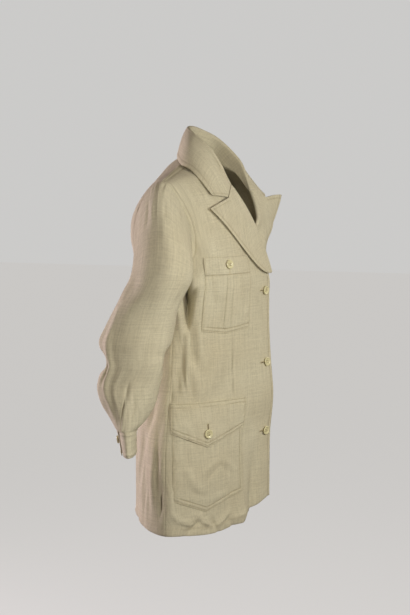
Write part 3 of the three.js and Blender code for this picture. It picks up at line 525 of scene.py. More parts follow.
def frontNormal(side, across, row, h=1e-3):
    across = np.clip(across, 0, 1)
    du = frontPoint(side, np.minimum(across + h, 1), row) - frontPoint(side, np.maximum(across - h, 0), row)
    dv = frontPoint(side, across, row + h * shoulderRow) - frontPoint(side, across, row - h * shoulderRow)
    return unit(np.cross(du, dv))


shoulderEnd = np.array([190, 17, -34.0])
neckPoint = np.array([78, 20, 0.0])
neckBack = np.array([0, 40, 19.0])  # the middle of the neckline
neckShare = 0.42  # share of the back's top row that is the neckline


def backTop(across):  # the neckline's curve from the middle, then the straight shoulder seam
    seam = lerp(neckPoint, shoulderEnd, ((across - neckShare) / (1 - neckShare))[..., None])
    share = np.clip(across / neckShare, 0, 1)
    bend = share ** 2
    neckline = xyz(neckPoint[0] * share, lerp(neckBack[1], neckPoint[1], bend * (1.4 - 0.4 * share)),
                   lerp(neckBack[2], neckPoint[2], bend * (1.2 - 0.2 * share)))
    return np.where((across >= neckShare)[..., None], seam, neckline)


def backPoint(side, across, row):  # on the back without creases, drawn to the neckline at the top
    across, row = np.broadcast_arrays(np.asarray(across, float), np.asarray(row, float))
    point = shaped(panelPoint(backPanel, across, row), across, backHem, backFolds[side])
    pull = smooth(row, 9.5, shoulderRow)[..., None]
    plain = panelPoint(backPanel, across, np.full(across.shape, float(shoulderRow)))
    return point + (backTop(across) - plain) * pull


def frontPlace(side, distance, height):  # share across and row of a place, by a few Newton steps
    distance, height = np.broadcast_arrays(np.asarray(distance, float), np.asarray(height, float))
    row = np.interp(-height, -frontRows["sideZ"][::-1], np.arange(shoulderRow, -1, -1.0))
    for _ in range(6):
        across = (distance - along(frontRows, "edgeX", row)) / rowLength(frontPanel, row)
        slope = (frontPoint(side, across, row + 0.02) - frontPoint(side, across, row - 0.02))[..., 2] / 0.04
        step = (height - frontPoint(side, across, row)[..., 2]) / slope
        row = np.clip(row + step, 0.03, shoulderRow - 0.03)
    across = (distance - along(frontRows, "edgeX", row)) / rowLength(frontPanel, row)
    return across, row


def groove(distance, depth=0.8, half=1.25):  # the press of a row of stitches
    return -depth * np.exp(-(distance / half) ** 2)


def pucker(distance, lengthwise, seed, amount=0.5):  # waves that a row of stitches draws up beside it
    return amount * rumple(lengthwise, distance * 0.4, 6.5, seed) * np.exp(-(distance / 5) ** 2)


# Places under a pocket or flap: inner and outer side, bottom and top, each eased between two values
plainPlaces = [
    ((46, 54), (166, 174), (-330, -322), (-180, -172)),
    ((62, 70), (230, 238), (-672, -662), (-456, -446)),
]


def covered(distance, height):  # 1 under a pocket or flap, where the panel stays plain
    most = 0
    for inner, outer, bottom, top in plainPlaces:
        beside = smooth(distance, *inner) * (1 - smooth(distance, *outer))
        most = np.maximum(most, beside * smooth(height, *bottom) * (1 - smooth(height, *top)))
    return most


# Rows of stitches: how far each lies from its edge or seam
seams = {
    "edgeStitch": 6,
    "hemStitch": 13,
    "shoulderStitches": (2.2, 8.5),
    "armholeStitch": 6.5,
    "ridge": 0.6,  # how far the cloth rises over a seam's turnings
    "dart": 98,  # the front's long seam, from the chest pocket's point to the flap
    "dartTop": -326,
    "dartFoot": -452,
    "gathers": 38,  # small waves round the head of a sleeve
}
# Millimetres that turn a piece's shares into distances
spans = {
    "front": 275,  # across
    "rows": 390,  # all thirteen rows near the shoulder, about 30 each
    "back": 715,  # hem to shoulder
    "lapel": 165,  # along its roll line
    "fall": 62,  # fold to edge of the collar
    "collar": 560,  # round the collar's edge
}
collarEnd = (seams["edgeStitch"] + 1) / spans["collar"]  # share along, at the stitches of its ends


# The front: a panel's point, moved along its normal by creases, unevenness, stitches and puckers
def frontSurface(side):
    creases = frontCreases[side]
    seed = 11 if side == "right" else 31

    def surface(u, v):
        row = v * shoulderRow
        base = frontPoint(side, u, row)
        distance = along(frontRows, "edgeX", row) + u * rowLength(frontPanel, row)
        height = base[..., 2]
        rise = creaseRise(creases, distance, height) + unevenness(distance, height, seed, 1.7)
        rise = rise * (1 - covered(distance, height)) * smooth(u, 0, 0.05) * smooth(1 - v, 0, 0.02)
        fromEdge = u * rowLength(frontPanel, row)
        fromSide = (1 - u) * rowLength(frontPanel, row)
        rise = rise * smooth(fromSide, 0, 6)
        below = 1 - smooth(row, breakRow - 0.2, breakRow)
        sewn = groove(fromEdge - seams["edgeStitch"]) * below
        fromHem = height - hemLine(side, u)
        sewn += groove(fromHem - seams["hemStitch"])
        onArmhole = smooth(row, underarmRow, underarmRow + 0.3)
        sewn += groove(fromSide - seams["armholeStitch"]) * onArmhole
        rise += seams["ridge"] * (1 - smooth(fromSide, 5.5, 8)) * onArmhole
        onShoulder = (1 - v) * spans["rows"]
        for stitch in seams["shoulderStitches"]:
            sewn += groove(onShoulder - stitch) * (v > 0.9)
        onDart = smooth(-height, -seams["dartTop"], -seams["dartTop"] + 12)
        onDart = onDart * (1 - smooth(-height, -seams["dartFoot"] - 12, -seams["dartFoot"]))
        fromDart = distance - seams["dart"]
        sewn += groove(fromDart) * onDart
        rise += seams["ridge"] * np.exp(-((fromDart - 4) / 3) ** 2) * onDart
        rise += pucker(fromDart, height, seed + 5, 0.4) * onDart
        rise += pucker(fromHem - seams["hemStitch"], distance, seed + 6, 0.7)
        rise += pucker(fromEdge - seams["edgeStitch"], height, seed + 7, 0.4) * below
        rise += pucker(fromSide - seams["armholeStitch"], height, seed + 8, 0.7) * onArmhole
        return base + gridNormals(base) * (rise + sewn)[..., None], pressed(sewn)

    return surface


# This mark darkens the linen in its material: painted shade in the stitched grooves.
def pressed(sewn):  # how far a place lies in a stitched line, from 0 to 1
    return np.clip(-sewn / 0.8, 0, 1)


def hemLine(side, u):
    return frontPoint(side, u, np.zeros_like(u))[..., 2]


# The back: each half as on the front, from the middle outward; u runs from the left side seam
def backSurface(u, v):
    across = np.abs(1 - 2 * u)
    row = v * shoulderRow
    left = backPoint("left", across, row)
    right = backPoint("right", across, row) * flip
    onLeft = u <= 0.5
    base = np.where(onLeft[..., None], left, right)
    fromMiddle = across * rowLength(backPanel, row)
    height = base[..., 2]
    rise = np.where(onLeft, creaseRise(backCreases["left"], fromMiddle, height),
                    creaseRise(backCreases["right"], fromMiddle, height))
    rise += unevenness(np.where(onLeft, 1, -1) * fromMiddle + 400, height, 51, 1.9)
    fromSide = (1 - across) * rowLength(backPanel, row)
    rise = rise * smooth(fromSide, 0, 6) * smooth(1 - v, 0, 0.02)
    fromHem = height - backPoint("left", across, np.zeros_like(row))[..., 2] - seams["hemStitch"]
    onArmhole = smooth(row, underarmRow, underarmRow + 0.3)
    sewn = groove(fromHem) + groove(fromSide - seams["armholeStitch"]) * onArmhole
    rise += pucker(fromHem, fromMiddle * np.where(onLeft, 1, -1) + 400, 57, 0.7)
    return base + gridNormals(base) * (rise + sewn)[..., None], pressed(sewn)


# Sleeves and cuffs

armholeSpread = 0.75


def armhole(angle):  # 0 at the shoulder, 90 in front, 180 under the arm
    turn = np.mod(angle, 360)
    share = np.where(turn <= 180, turn, 360 - turn) / 180
    row = shoulderRow - (shoulderRow - underarmRow) * share ** armholeSpread
    names = ("sideX", "sideY", "sideZ")
    front = xyz(*(along(frontRows, name, row) for name in names))
    back = xyz(*(along(backRows, name, row) for name in names))
    return np.where((turn <= 180)[..., None], front, back)


def ringPoint(rings, angle, ring):  # ovals, turned about Z by their twist
    turn, twist = np.radians(angle), np.radians(-along(rings, "twist", ring))
    x, y = along(rings, "across", ring) * np.cos(turn), -along(rings, "deep", ring) * np.sin(turn)
    return xyz(along(rings, "x", ring) + x * np.cos(twist) - y * np.sin(twist),
               along(rings, "y", ring) + x * np.sin(twist) + y * np.cos(twist), along(rings, "z", ring))


capShare = 0.36
# The slit runs up from the cuff, and leans forwards by so many degrees a millimetre
sleeveShape = {"start": 0.9, "slitFoot": 339, "slitLean": 0.38, "slitLow": -480, "slitTop": -433}


def foldedRing(angle, ring):  # a ring's point moved outward by the sleeve's large folds
    point = ringPoint(sleeveRings, angle, ring)
    turn = np.radians(angle)
    outward = xyz(np.cos(turn), -np.sin(turn), 0 * turn)
    return point + outward * foldRise(sleeveFolds, np.mod(angle, 360), point[..., 2], 360)[..., None]


def sleeveBase(angle, down):  # a Hermite patch from the armhole to the first ring, then the rings
    ringed = foldedRing(angle, np.maximum(down - 1, 0))
    turn = np.radians(angle)
    top = np.maximum(np.cos(turn), 0)
    leave = unit(xyz(1 + 0 * top, 0 * top, -0.3 * top))
    start = armhole(angle) + leave * sleeveShape["start"]
    end = foldedRing(angle, 0 * down)
    reach = np.linalg.norm(end - start, axis=-1)
    leave = leave * (reach * lerp(0.55, 0.72, top))[..., None]
    arrive = unit(foldedRing(angle, 0 * down + 0.02) - end) * (0.9 * reach)[..., None]
    t = np.clip(down, 0, 1)[..., None]
    cap = start * (1 + 2 * t) * (1 - t) ** 2 + leave * t * (1 - t) ** 2
    cap = cap + end * t * t * (3 - 2 * t) + arrive * t * t * (t - 1)
    return np.where((down >= 1)[..., None], ringed, cap)


# The sleeve: its base moved along the normal by creases, which are measured in millimetres round
# a middling ring, by the gathers of its head, and by a narrow groove for the slit
def sleeveSurface(side):
    seed = 71 if side == "right" else 91

    def surface(u, v):
        angle = u * 360 + 180  # the tube closes under the arm
        down = np.where(v < capShare, v / capShare, 1 + 9 * (v - capShare) / (1 - capShare))
        base = sleeveBase(angle, down)
        height = base[..., 2]
        perDegree = math.radians(1) * sleeveRadius
        shifted = dict(sleeveCreases)
        shifted["x"] = sleeveCreases["x"] * perDegree
        if side == "left":
            shifted["z"] = sleeveCreases["z"] + 7 * np.cos(sleeveCreases["x"])
        rise = creaseRise(shifted, angle * perDegree, height, 360 * perDegree)
        rise += unevenness(angle * perDegree, height, seed, 1.6, 360 * perDegree)
        rise = rise * smooth(v, 0, 0.03) * smooth(1 - v, 0, 0.02)
        gathers = np.exp(-((angle - 360) / 60) ** 2) * smooth(v, 0.0, 0.01)
        waves = np.sin(np.radians(angle) * seams["gathers"])
        rise += 0.55 * waves * gathers * (1 - smooth(v, 0.02, 0.09))
        away = angle - sleeveShape["slitFoot"] - (height - sleeveShape["slitLow"]) * sleeveShape["slitLean"]
        below = 1 - smooth(height, sleeveShape["slitTop"] - 6, sleeveShape["slitTop"])
        slit = np.exp(-(away / 1.2) ** 2) * below
        rise += -3.6 * slit + 1.4 * np.exp(-((away - 6) / 4.5) ** 2) * below
        # The slit's mark darkens it in the linen's colour: painted shade.
        return base + gridNormals(base, True) * rise[..., None], 2.6 * slit

    return surface


# The slit is a turn in degrees, the overlap a share of the way round
cuffShape = {"overlap": 0.16, "slit": 300, "stitch": 5, "tall": 46, "round": 330}


# The cuff: rings wound once round and a little further, where the inner end sinks under the outer
def cuffSurface(u, v):
    ring = 2 * v
    overlap = cuffShape["overlap"]
    angle = cuffShape["slit"] - u * 360 * (1 + overlap)
    sink = (2 + cut["gap"]) * 1.1 * smooth(u, 1 - 2.2 * overlap, 1 - overlap)
    turn = np.radians(angle)
    base = ringPoint(cuffRings, angle, ring) - xyz(np.cos(turn), -np.sin(turn), 0 * turn) * sink[..., None]
    tall, stitch = cuffShape["tall"], cuffShape["stitch"]
    sewn = groove((1 - v) * tall - stitch) + groove(v * tall - stitch)
    rise = 0.35 * rumple(u * cuffShape["round"], v * tall, 24, 5) + sewn
    return base + gridNormals(base) * rise[..., None], pressed(sewn)


# Lapels and collar

def rollFrame(side, row):  # the roll line's point, upward way, normal, and the way it opens
    h = 1e-3
    start = frontPoint(side, 0 * row, row)
    upward = unit(frontPoint(side, 0 * row, row + h) - frontPoint(side, 0 * row, row - h))
    normal = unit(np.cross(frontPoint(side, 0 * row + 10 * h, row) - start, upward))
    return start, upward, normal, unit(np.cross(normal, upward))


def rollRadius(side, row):
    return lerp(stance[side]["footRoll"], cut["roll"], smooth(row, breakRow + 1.2, breakRow + 2.2))


def onChest(side, across, row, lift, opened, rollRow, droop):  # a chest point, swung open at the roll line
    point = frontPoint(side, across, row) + frontNormal(side, across, row) * lift[..., None]
    start, upward, normal, opening = rollFrame(side, rollRow)
    radius = rollRadius(side, rollRow)[..., None]
    centre = start + opening * (cut["gap"] + cut["rollStand"]) + normal * radius
    turn = np.radians(opened)
    swung = turnAbout(point - centre - normal * radius, upward, -turn)
    end = centre + opening * radius * np.sin(turn)[..., None]
    end = end + normal * radius * np.cos(turn)[..., None] + swung
    up = (rollRow - breakRow) / (turned[side]["gorgeRow"] - breakRow)
    end[..., 2] -= droop * (across / turned[side]["lapelTip"][0]) ** 2 * up ** 3
    return end


def rollPoint(side, row, share, opened):  # the flat stretch, then round the turn
    start, upward, normal, opening = rollFrame(side, row)
    base = start + opening * cut["gap"]
    flat = base + opening * (cut["rollStand"] * share / standShare)[..., None]
    radius = rollRadius(side, row)[..., None]
    sweep = math.pi - np.radians(opened)
    angle = (-math.pi / 2 + sweep * (share - standShare) / (turnShare - standShare))[..., None]
    centre = base + opening * cut["rollStand"] + normal * radius
    turning = centre + opening * radius * np.cos(angle) + normal * radius * np.sin(angle)
    return np.where((share < standShare)[..., None], flat, turning)


def lapelWidth(up):  # from the roll line to the edge, in millimetres
    return 6 + 80 * up ** 0.6


# The lapel: flat beside the seam, round the turn, then the chest's own points, lifted and swung
# open at the roll line. Its top follows the gorge to the notch, and from there runs to the tip.
def lapelSurface(side):
    state, shape = stance[side], turned[side]
    knee = shape["notch"][0] / shape["lapelTip"][0]

    def surface(u, v):
        up = lerp(0.004, 1 - 2 * cut["gap"] / rollLength, v)
        rollRow = lerp(breakRow, shape["gorgeRow"], up)
        opened = state["lapel"] * up ** state["curve"]
        share = np.maximum((u - turnShare) / (1 - turnShare), 0)
        across = share * (lapelFoot + (shape["lapelTip"][0] - lapelFoot) * up ** lapelCurve)
        gorge = lerp(shape["gorgeRow"], shape["notch"][1], share / knee)
        tip = lerp(shape["notch"][1], shape["lapelTip"][1], (share - knee) / (1 - knee))
        row = lerp(breakRow, np.where(share < knee, gorge, tip), up)
        settle = lerp(state["footLift"], state["lift"], smooth(up, 0, 0.6))
        lift = lerp(2 * rollRadius(side, rollRow), settle, smooth(share, 0, 0.6))
        fall = onChest(side, across, row, lift, opened, rollRow, state["droop"])
        turning = rollPoint(side, rollRow, np.minimum(u, turnShare), opened)
        base = np.where((u < turnShare)[..., None], turning, fall)
        wide = share * rowLength(frontPanel, row) * 0.6
        rise = 0.5 * rumple(wide + 40, up * 180, 30, 7) * smooth(share, 0.1, 0.4) * smooth(1 - share, 0, 0.1)
        edge = (1 - share) * lapelWidth(up)
        sewn = groove(edge - seams["edgeStitch"], 0.6) * (share > 0.2) * smooth(v, 0.02, 0.08)
        sewn += groove((1 - v) * spans["lapel"] - seams["edgeStitch"], 0.6) * (share > knee)
        return base + gridNormals(base) * (rise + sewn)[..., None], pressed(sewn)

    return surface


def collarSections(side, share):  # every station's section at the shares across, then the gorge's
    stations = {name: values[:, None] for name, values in collarStations.items()}
    drop = stations["leftDrop"] if side == "left" else 0 * stations["leftDrop"]
    seam = xyz(stations["seamX"], stations["seamY"], stations["seamZ"])
    fold = xyz(stations["foldX"], stations["foldY"], stations["foldZ"])
    bow = xyz(stations["bowX"], stations["bowY"], stations["bowZ"] - drop)
    edge = xyz(stations["edgeX"], stations["edgeY"], stations["edgeZ"])
    tangent = np.concatenate([[[[1.0, 0, 0]]], fold[2:] - fold[:-2], fold[-1:] - fold[-2:-1]])
    out = unit(np.cross(fold - seam, tangent))
    up = unit(np.cross(tangent, out))
    centre = fold - xyz(0, 0, 1) * drop[..., None] - up * cut["roll"]
    before, after = centre - out * cut["roll"], centre + out * cut["roll"]
    s = share[None, :, None]
    stand = lerp(seam, before, s / collarStand)
    angle = math.pi * (s - collarStand) / (turnShare - collarStand)
    turning = centre - out * cut["roll"] * np.cos(angle) + up * cut["roll"] * np.sin(angle)
    t = np.clip((s - turnShare) / (1 - turnShare), 0, 1)
    fall = after * (1 - t) ** 2 + 2 * bow * t * (1 - t) + edge * t * t
    sections = np.where(s < collarStand, stand, np.where(s < turnShare, turning, fall))
    return np.concatenate([sections, gorgeSection(side, share)[None]])


def gorgeSection(side, share):  # the collar's end, on the lapel to the knee and then free
    state, shape = stance[side], turned[side]
    gorgeRow = np.full(share.shape, shape["gorgeRow"])
    opened = np.full(share.shape, float(state["notch"]))
    around = np.where(share < collarStand, share * standShare / collarStand,
                      lerp(standShare, turnShare, (share - collarStand) / (turnShare - collarStand)))
    turn = rollPoint(side, gorgeRow, np.minimum(around, turnShare), opened)
    t = np.clip((share - turnShare) / (1 - turnShare), 0, 1)
    (notchAt, notchRow), (tipAt, tipRow) = shape["notch"], shape["collarTip"]
    s = np.clip(t / gorgeKnee, 0, 1)
    sewn = onChest(side, notchAt * s, lerp(gorgeRow, notchRow, s),
                   lerp(2 * cut["roll"], state["lift"], smooth(t, 0, 0.6)), opened, gorgeRow, state["droop"])
    s = np.clip((t - gorgeKnee) / (1 - gorgeKnee), 0, 1)
    atKnee = lerp(2 * cut["roll"], state["lift"], smooth(gorgeKnee, 0, 0.6))
    free = onChest(side, lerp(notchAt, tipAt, s), lerp(notchRow, tipRow, s),
                   lerp(atKnee, state["lift"] + 0.7, s), lerp(state["notch"], state["collar"], s),
                   gorgeRow, state["droop"] * (1 - s))
    return np.where((share < turnShare)[:, None], turn, np.where((t < gorgeKnee)[:, None], sewn, free))


gorgeInset = 0.03  # how far the collar stops before its last sections


# The collar: Catmull-Rom through the sections, from the left gorge round to the right one
def collarSurface(u, v):
    share = u[0]
    left = collarSections("left", share)
    right = collarSections("right", share) * flip
    sections = np.concatenate([right[::-1], left[1:]])
    first = 2 * sections[0] - sections[1]
    last = 2 * sections[-1] - sections[-2]
    sections = np.concatenate([first[None], sections, last[None]])
    ends = len(collarStations["seamX"])
    place = np.clip(lerp(ends, -ends, v[:, 0]), -ends + gorgeInset, ends - gorgeInset) + ends
    i = np.clip(np.floor(place).astype(int), 0, 2 * ends - 1)
    t = (place - i)[:, None, None]
    base = catmullRom(*(sections[i + k] for k in range(4)), t)
    fall = np.maximum(u - turnShare, 0) / (1 - turnShare)
    rise = 0.45 * rumple(u * 150 + 10, v * spans["collar"], 34, 15) * smooth(fall, 0.1, 0.4)
    rise = rise * smooth(1 - fall, 0, 0.12) * smooth(v, 0, 0.05) * smooth(1 - v, 0, 0.05)
    sewn = groove((1 - fall) * spans["fall"] - seams["edgeStitch"], 0.6) * (fall > 0.3)
    fromEnd = np.minimum(v, 1 - v) * spans["collar"]
    sewn += groove(fromEnd - seams["edgeStitch"] - 1, 0.6) * (fall > gorgeKnee)
    return base + gridNormals(base) * (rise + sewn)[..., None], pressed(sewn)


# Pockets and flaps

def patchBottom(patch, across):  # height of the bottom, from its corners down to its point
    half = np.where(across < patch["pointAt"], patch["pointAt"], 1 - patch["pointAt"])
    return lerp(patch["point"], patch["corner"], np.abs(across - patch["pointAt"]) / half)


def pocketLift(pocket, across, up):  # swollen in the middle, and pressed flat at the side seam's end
    swell = np.clip(np.sin(math.pi * across) * np.sin(math.pi * up), 0, 1) ** 0.7
    flat = 0.9 * smooth(across, 0.93, 1) * (pocket["outer"] > 200)
    return patchBase + pocket["bulge"] * swell - flat


pocketCreases = {
    "chest": columns(creaseNames, [
        [80, -232, 82, 50, 8, 0.7, 4],
        [142, -246, 84, 56, 8, 0.8, -4],
        [150, -206, 30, 26, 6, -0.6, 3],
        [68, -288, -20, 24, 6, 0.6, 3],
    ]),
    "lower": columns(creaseNames, [
        [118, -590, 42, 30, 4, -1.2, 3],
        [104, -584, 40, 32, 5, 1.3, 3],
        [146, -592, -38, 32, 4, -1.2, -3],
        [158, -582, -36, 30, 5, 1.2, -2],
        [90, -612, 70, 30, 5, 0.9, 3],
        [196, -600, 62, 44, 8, 1.3, 5],
        [180, -632, 20, 30, 6, -1.1, 4],
        [130, -640, -14, 40, 6, 1.1, 4],
        [100, -636, 34, 26, 5, -1, 3],
        [206, -560, 78, 46, 8, -1, 4],
        [88, -556, 80, 40, 7, 0.8, -4],
    ]),
    "flap": columns(creaseNames, [
        [120, -478, 84, 30, 6, 0.7, 3],
        [182, -484, 80, 34, 7, 0.8, -3],
        [150, -470, 86, 22, 5, -0.6, 2],
        [206, -500, 40, 26, 6, 0.6, 3],
    ]),
}
stitchRows = {
    "pocketSides": (2.2, 9),
    "band": 33,  # depth of the chest pocket's turned top
    "pleat": 8,  # half the width of its box pleat
    "flapEdge": (2, 9),
    "flapTop": (2.5, 9),
}


# A pocket or flap: the front's own points, lifted as liftAt says, with creases that fade to the
# patch's edges and what its rows of stitches press in and raise
def patchSurface(side, patch, kind, liftAt, stitched):
    seed = {"chest": 101, "lower": 111, "flap": 121}[kind] + (5 if side == "left" else 0)

    def surface(u, v):
        distance = lerp(patch["inner"], patch["outer"], u)
        bottom = patchBottom(patch, u)
        height = lerp(bottom, patch["top"], v)
        across, row = frontPlace(side, distance, height)
        base = frontPoint(side, across, row)
        rise = 1.7 * creaseRise(pocketCreases[kind], distance, height + (6 if side == "left" else 0))
        rise += unevenness(distance, height, seed, 0.8)
        width = patch["outer"] - patch["inner"]
        inside = smooth(np.minimum(u, 1 - u) * width, 0, 14) * smooth(height - bottom, 0, 14)
        rise = rise * inside * smooth(patch["top"] - height, 0, 10)
        sewn, raised = stitched(u, v, distance, height, bottom)
        rise = rise + liftAt(distance, height, u, v) + sewn + raised
        return base + gridNormals(base) * rise[..., None], pressed(sewn)

    return surface


def pocketSurface(side, kind):
    pocket = chestPocket if kind == "chest" else lowerPocket
    width = pocket["outer"] - pocket["inner"]

    def liftAt(distance, height, u, v):
        return pocketLift(pocket, u, v)

    def stitched(u, v, distance, height, bottom):
        aside, above = np.minimum(u, 1 - u) * width, height - bottom
        near = np.minimum(aside, above)
        first, second = stitchRows["pocketSides"]
        inner = np.where((kind == "lower") & (u < 0.5), near, above)  # the second row, where it shows
        sewn = groove(near - first, 0.6, 1) + groove(inner - second) * (near > first)
        sewn = sewn * (1 - 0.8 * smooth(u, 0.9, 0.95) * (above > 4))  # faint at the side seam
        raised = pucker(near - 5.5, distance + height, 131, 0.9) + 0.5 * np.exp(-((inner - 5.5) / 2) ** 2)
        if kind == "chest":
            under = pocket["top"] - height - stitchRows["band"]
            sewn = sewn + groove(under)
            raised = raised + 0.5 * (1 - smooth(under, -1, 1)) + pucker(under, distance, 133, 0.5)
            middle = lerp(pocket["inner"], pocket["outer"], pocket["pointAt"])
            fromPleat = np.abs(distance - middle) - stitchRows["pleat"]
            pleat = smooth(under, 0, 6) * smooth(above, 8, 12)
            raised = raised + pleat * 0.8 * (1 - smooth(fromPleat, -0.6, 0.6))
            sewn = sewn + groove(fromPleat, 0.4) * pleat
        return sewn, raised

    return patchSurface(side, pocket, kind, liftAt, stitched)


def flapLift(distance, height):  # clear of the pocket below, and down on the panel at its top seam
    across = np.clip((distance - lowerPocket["inner"]) / (lowerPocket["outer"] - lowerPocket["inner"]), 0, 1)
    corner = patchBottom(lowerPocket, across)
    up = np.clip((height - corner) / (lowerPocket["top"] - corner), 0, 1)
    over = pocketLift(lowerPocket, across, up) + cut["pocket"] + 0.7
    landed = smooth(height, lowerFlap["top"] - lowerFlap["landing"], lowerFlap["top"])
    return lerp(over, patchBase - 0.3, landed)


def flapSurface(side):
    width = lowerFlap["outer"] - lowerFlap["inner"]

    def liftAt(distance, height, u, v):
        return flapLift(distance, height)

    def stitched(u, v, distance, height, bottom):
        near = np.minimum(height - bottom, np.minimum(u, 1 - u) * width)
        under = lowerFlap["top"] - height
        first, second = stitchRows["flapEdge"]
        above = height - bottom
        sewn = groove(near - first, 0.6, 1) * (1 - 0.8 * smooth(u, 0.9, 0.95) * (above > 4))
        sewn = sewn + groove(above - second) * (near > first)
        sewn = sewn + sum(groove(under - stitch, 0.6, 1) for stitch in stitchRows["flapTop"])
        raised = pucker(near - 5.5, distance + height, 141, 0.9) + 0.6 * np.exp(-((near - 5.5) / 2) ** 2)
        return sewn, raised + pucker(under - 6, distance, 143, 0.6)

    return patchSurface(side, lowerFlap, "flap", liftAt, stitched)


# Meshes

def refined(count, marks=(), near=0.004, low=0.0, high=1.0):
    # even steps from low to high, with close ones round each mark
    steps = [np.linspace(low, high, count + 1)]
    steps += [mark + near * np.linspace(-2, 2, 9) for mark in marks]
    merged = np.unique(np.concatenate(steps).round(6))
    merged = merged[(merged >= low) & (merged <= high)]
    keep = np.concatenate([[True], np.diff(merged) > near * 0.24])
    keep[-1] = True
    return merged[keep]


def makeMesh(name, points, quads, uvs, material, mirror, press=None):
    # a mirrored piece has its corners in the other order, so that its faces still look outward
    if mirror:
        points, quads, uvs = points * flip, quads[:, ::-1], uvs[:, ::-1]
    mesh = bpy.data.meshes.new(name)
    mesh.from_pydata((points * 0.001).tolist(), [], quads.tolist())
    layer = mesh.uv_layers.new(name="grain")
    layer.data.foreach_set("uv", (uvs * 0.001).astype(np.float32).ravel())
    mesh.polygons.foreach_set("use_smooth", np.ones(len(mesh.polygons), bool))
    if press is not None:
        marks = mesh.attributes.new("press", "FLOAT", "POINT")
        marks.data.foreach_set("value", press.astype(np.float32))
    mesh.materials.append(material)
    mesh.update()
    piece = bpy.data.objects.new(name, mesh)
    bpy.context.scene.collection.objects.link(piece)
    return piece


def finishPiece(piece, node=None):
    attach(piece, "root")
    if node:
        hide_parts(node)


def grainOf(points, kind):
    # length walked across and along the cloth, for the weave: from the front edge and the level of
    # the hem on a hung panel, from the middle on a centred one, and ring by ring on a tube
    closed = np.concatenate([points, points[:, :1]], 1) if kind == "tube" else points
    across = np.cumsum(np.linalg.norm(np.diff(closed, axis=1), axis=-1), axis=1)
    across = np.concatenate([np.zeros((len(points), 1)), across], 1)
    up = np.cumsum(np.linalg.norm(np.diff(closed, axis=0), axis=-1), axis=0)
    up = np.concatenate([np.zeros((1, closed.shape[1])), up], 0)
    across += points[:, :1, 0] if kind == "hung" else -across[:, across.shape[1] // 2][:, None]
    up = up.mean(1, keepdims=True) + 0 * up if kind == "tube" else up + closed[:1, :, 2]
    return np.stack([across, up], -1)


def makeCloth(node, surface, us, vs, sheet, mirror=False, kind="hung"):
    # two layers of the surface's grid, with a rounded rim of one more row of points between them
    tube = kind == "tube"
    thickness, flat, area, held = sheet
    u, v = np.meshgrid(us, vs)
    middle, press = surface(u, v)
    normal = gridNormals(middle, tube)
    outer, inner = middle + normal * thickness / 2, middle - normal * thickness / 2
    nv, nu = u.shape
    grain = grainOf(middle, kind)
    gu = nu + 1 if tube else nu  # a tube's grain has one more column, where it closes

    def rimOf(edge, beside):
        return edge + unit(edge - beside) * thickness / 2

    layers = {"outer": outer, "inner": inner, "low": rimOf(middle[0], middle[1]),
              "high": rimOf(middle[-1], middle[-2])}
    grains = {"outer": grain, "inner": grain, "low": grain[0], "high": grain[-1]}
    if not tube:
        layers |= {"first": rimOf(middle[:, 0], middle[:, 1]), "last": rimOf(middle[:, -1], middle[:, -2])}
        grains |= {"first": grain[:, 0], "last": grain[:, -1]}
    starts = dict(zip(layers, np.cumsum([0] + [layer.size // 3 for layer in layers.values()])))
    grainStarts = dict(zip(grains, np.cumsum([0] + [layer.size // 2 for layer in grains.values()])))
    quads, grainQuads = [], []

    def add(*corners):
        vertices, places = [], []
        for part, i, j in corners:
            i, j = np.broadcast_arrays(i, j)
            flatLayer = part in ("outer", "inner")
            column = j if part in ("first", "last") else i % nu
            place = j if part in ("first", "last") else i
            vertices.append(starts[part] + column + flatLayer * j * nu)
            places.append(grainStarts[part] + place + flatLayer * j * gu)
        quads.append(np.stack([a.ravel() for a in vertices], -1))
        grainQuads.append(np.stack([a.ravel() for a in places], -1))

    i, j = np.meshgrid(np.arange(nu if tube else nu - 1), np.arange(nv - 1))
    add(("outer", i, j), ("outer", i + 1, j), ("outer", i + 1, j + 1), ("outer", i, j + 1))
    add(("inner", i, j), ("inner", i, j + 1), ("inner", i + 1, j + 1), ("inner", i + 1, j))
    i, top = i[0], nv - 1
    add(("outer", i + 1, 0), ("outer", i, 0), ("low", i, 0), ("low", i + 1, 0))
    add(("low", i + 1, 0), ("low", i, 0), ("inner", i, 0), ("inner", i + 1, 0))
    add(("outer", i, top), ("outer", i + 1, top), ("high", i + 1, 0), ("high", i, 0))
    add(("high", i, 0), ("high", i + 1, 0), ("inner", i + 1, top), ("inner", i, top))
    if not tube:
        j, end = j[:, 0], nu - 1
        add(("outer", 0, j), ("outer", 0, j + 1), ("first", 0, j + 1), ("first", 0, j))
        add(("first", 0, j), ("first", 0, j + 1), ("inner", 0, j + 1), ("inner", 0, j))
        add(("outer", end, j + 1), ("outer", end, j), ("last", 0, j), ("last", 0, j + 1))
        add(("last", 0, j + 1), ("last", 0, j), ("inner", end, j), ("inner", end, j + 1))
        add(("outer", 0, 0), ("first", 0, 0), ("inner", 0, 0), ("low", 0, 0))
        add(("outer", end, 0), ("low", end, 0), ("inner", end, 0), ("last", 0, 0))
        add(("outer", 0, top), ("high", 0, 0), ("inner", 0, top), ("first", 0, top))
        add(("outer", end, top), ("last", 0, top), ("inner", end, top), ("high", end, 0))
    points = np.concatenate([layer.reshape(-1, 3) for layer in layers.values()])
    uvs = np.concatenate([layer.reshape(-1, 2) for layer in grains.values()])[np.concatenate(grainQuads)]
    marks = np.zeros(len(points))
    marks[:press.size] = press.ravel()
    piece = makeMesh(f"linen_{node}", points, np.concatenate(quads), uvs, materials["linen"], mirror, marks)
    finishPiece(piece, node)
    return {"us": us, "vs": vs, "outer": outer, "normal": normal}


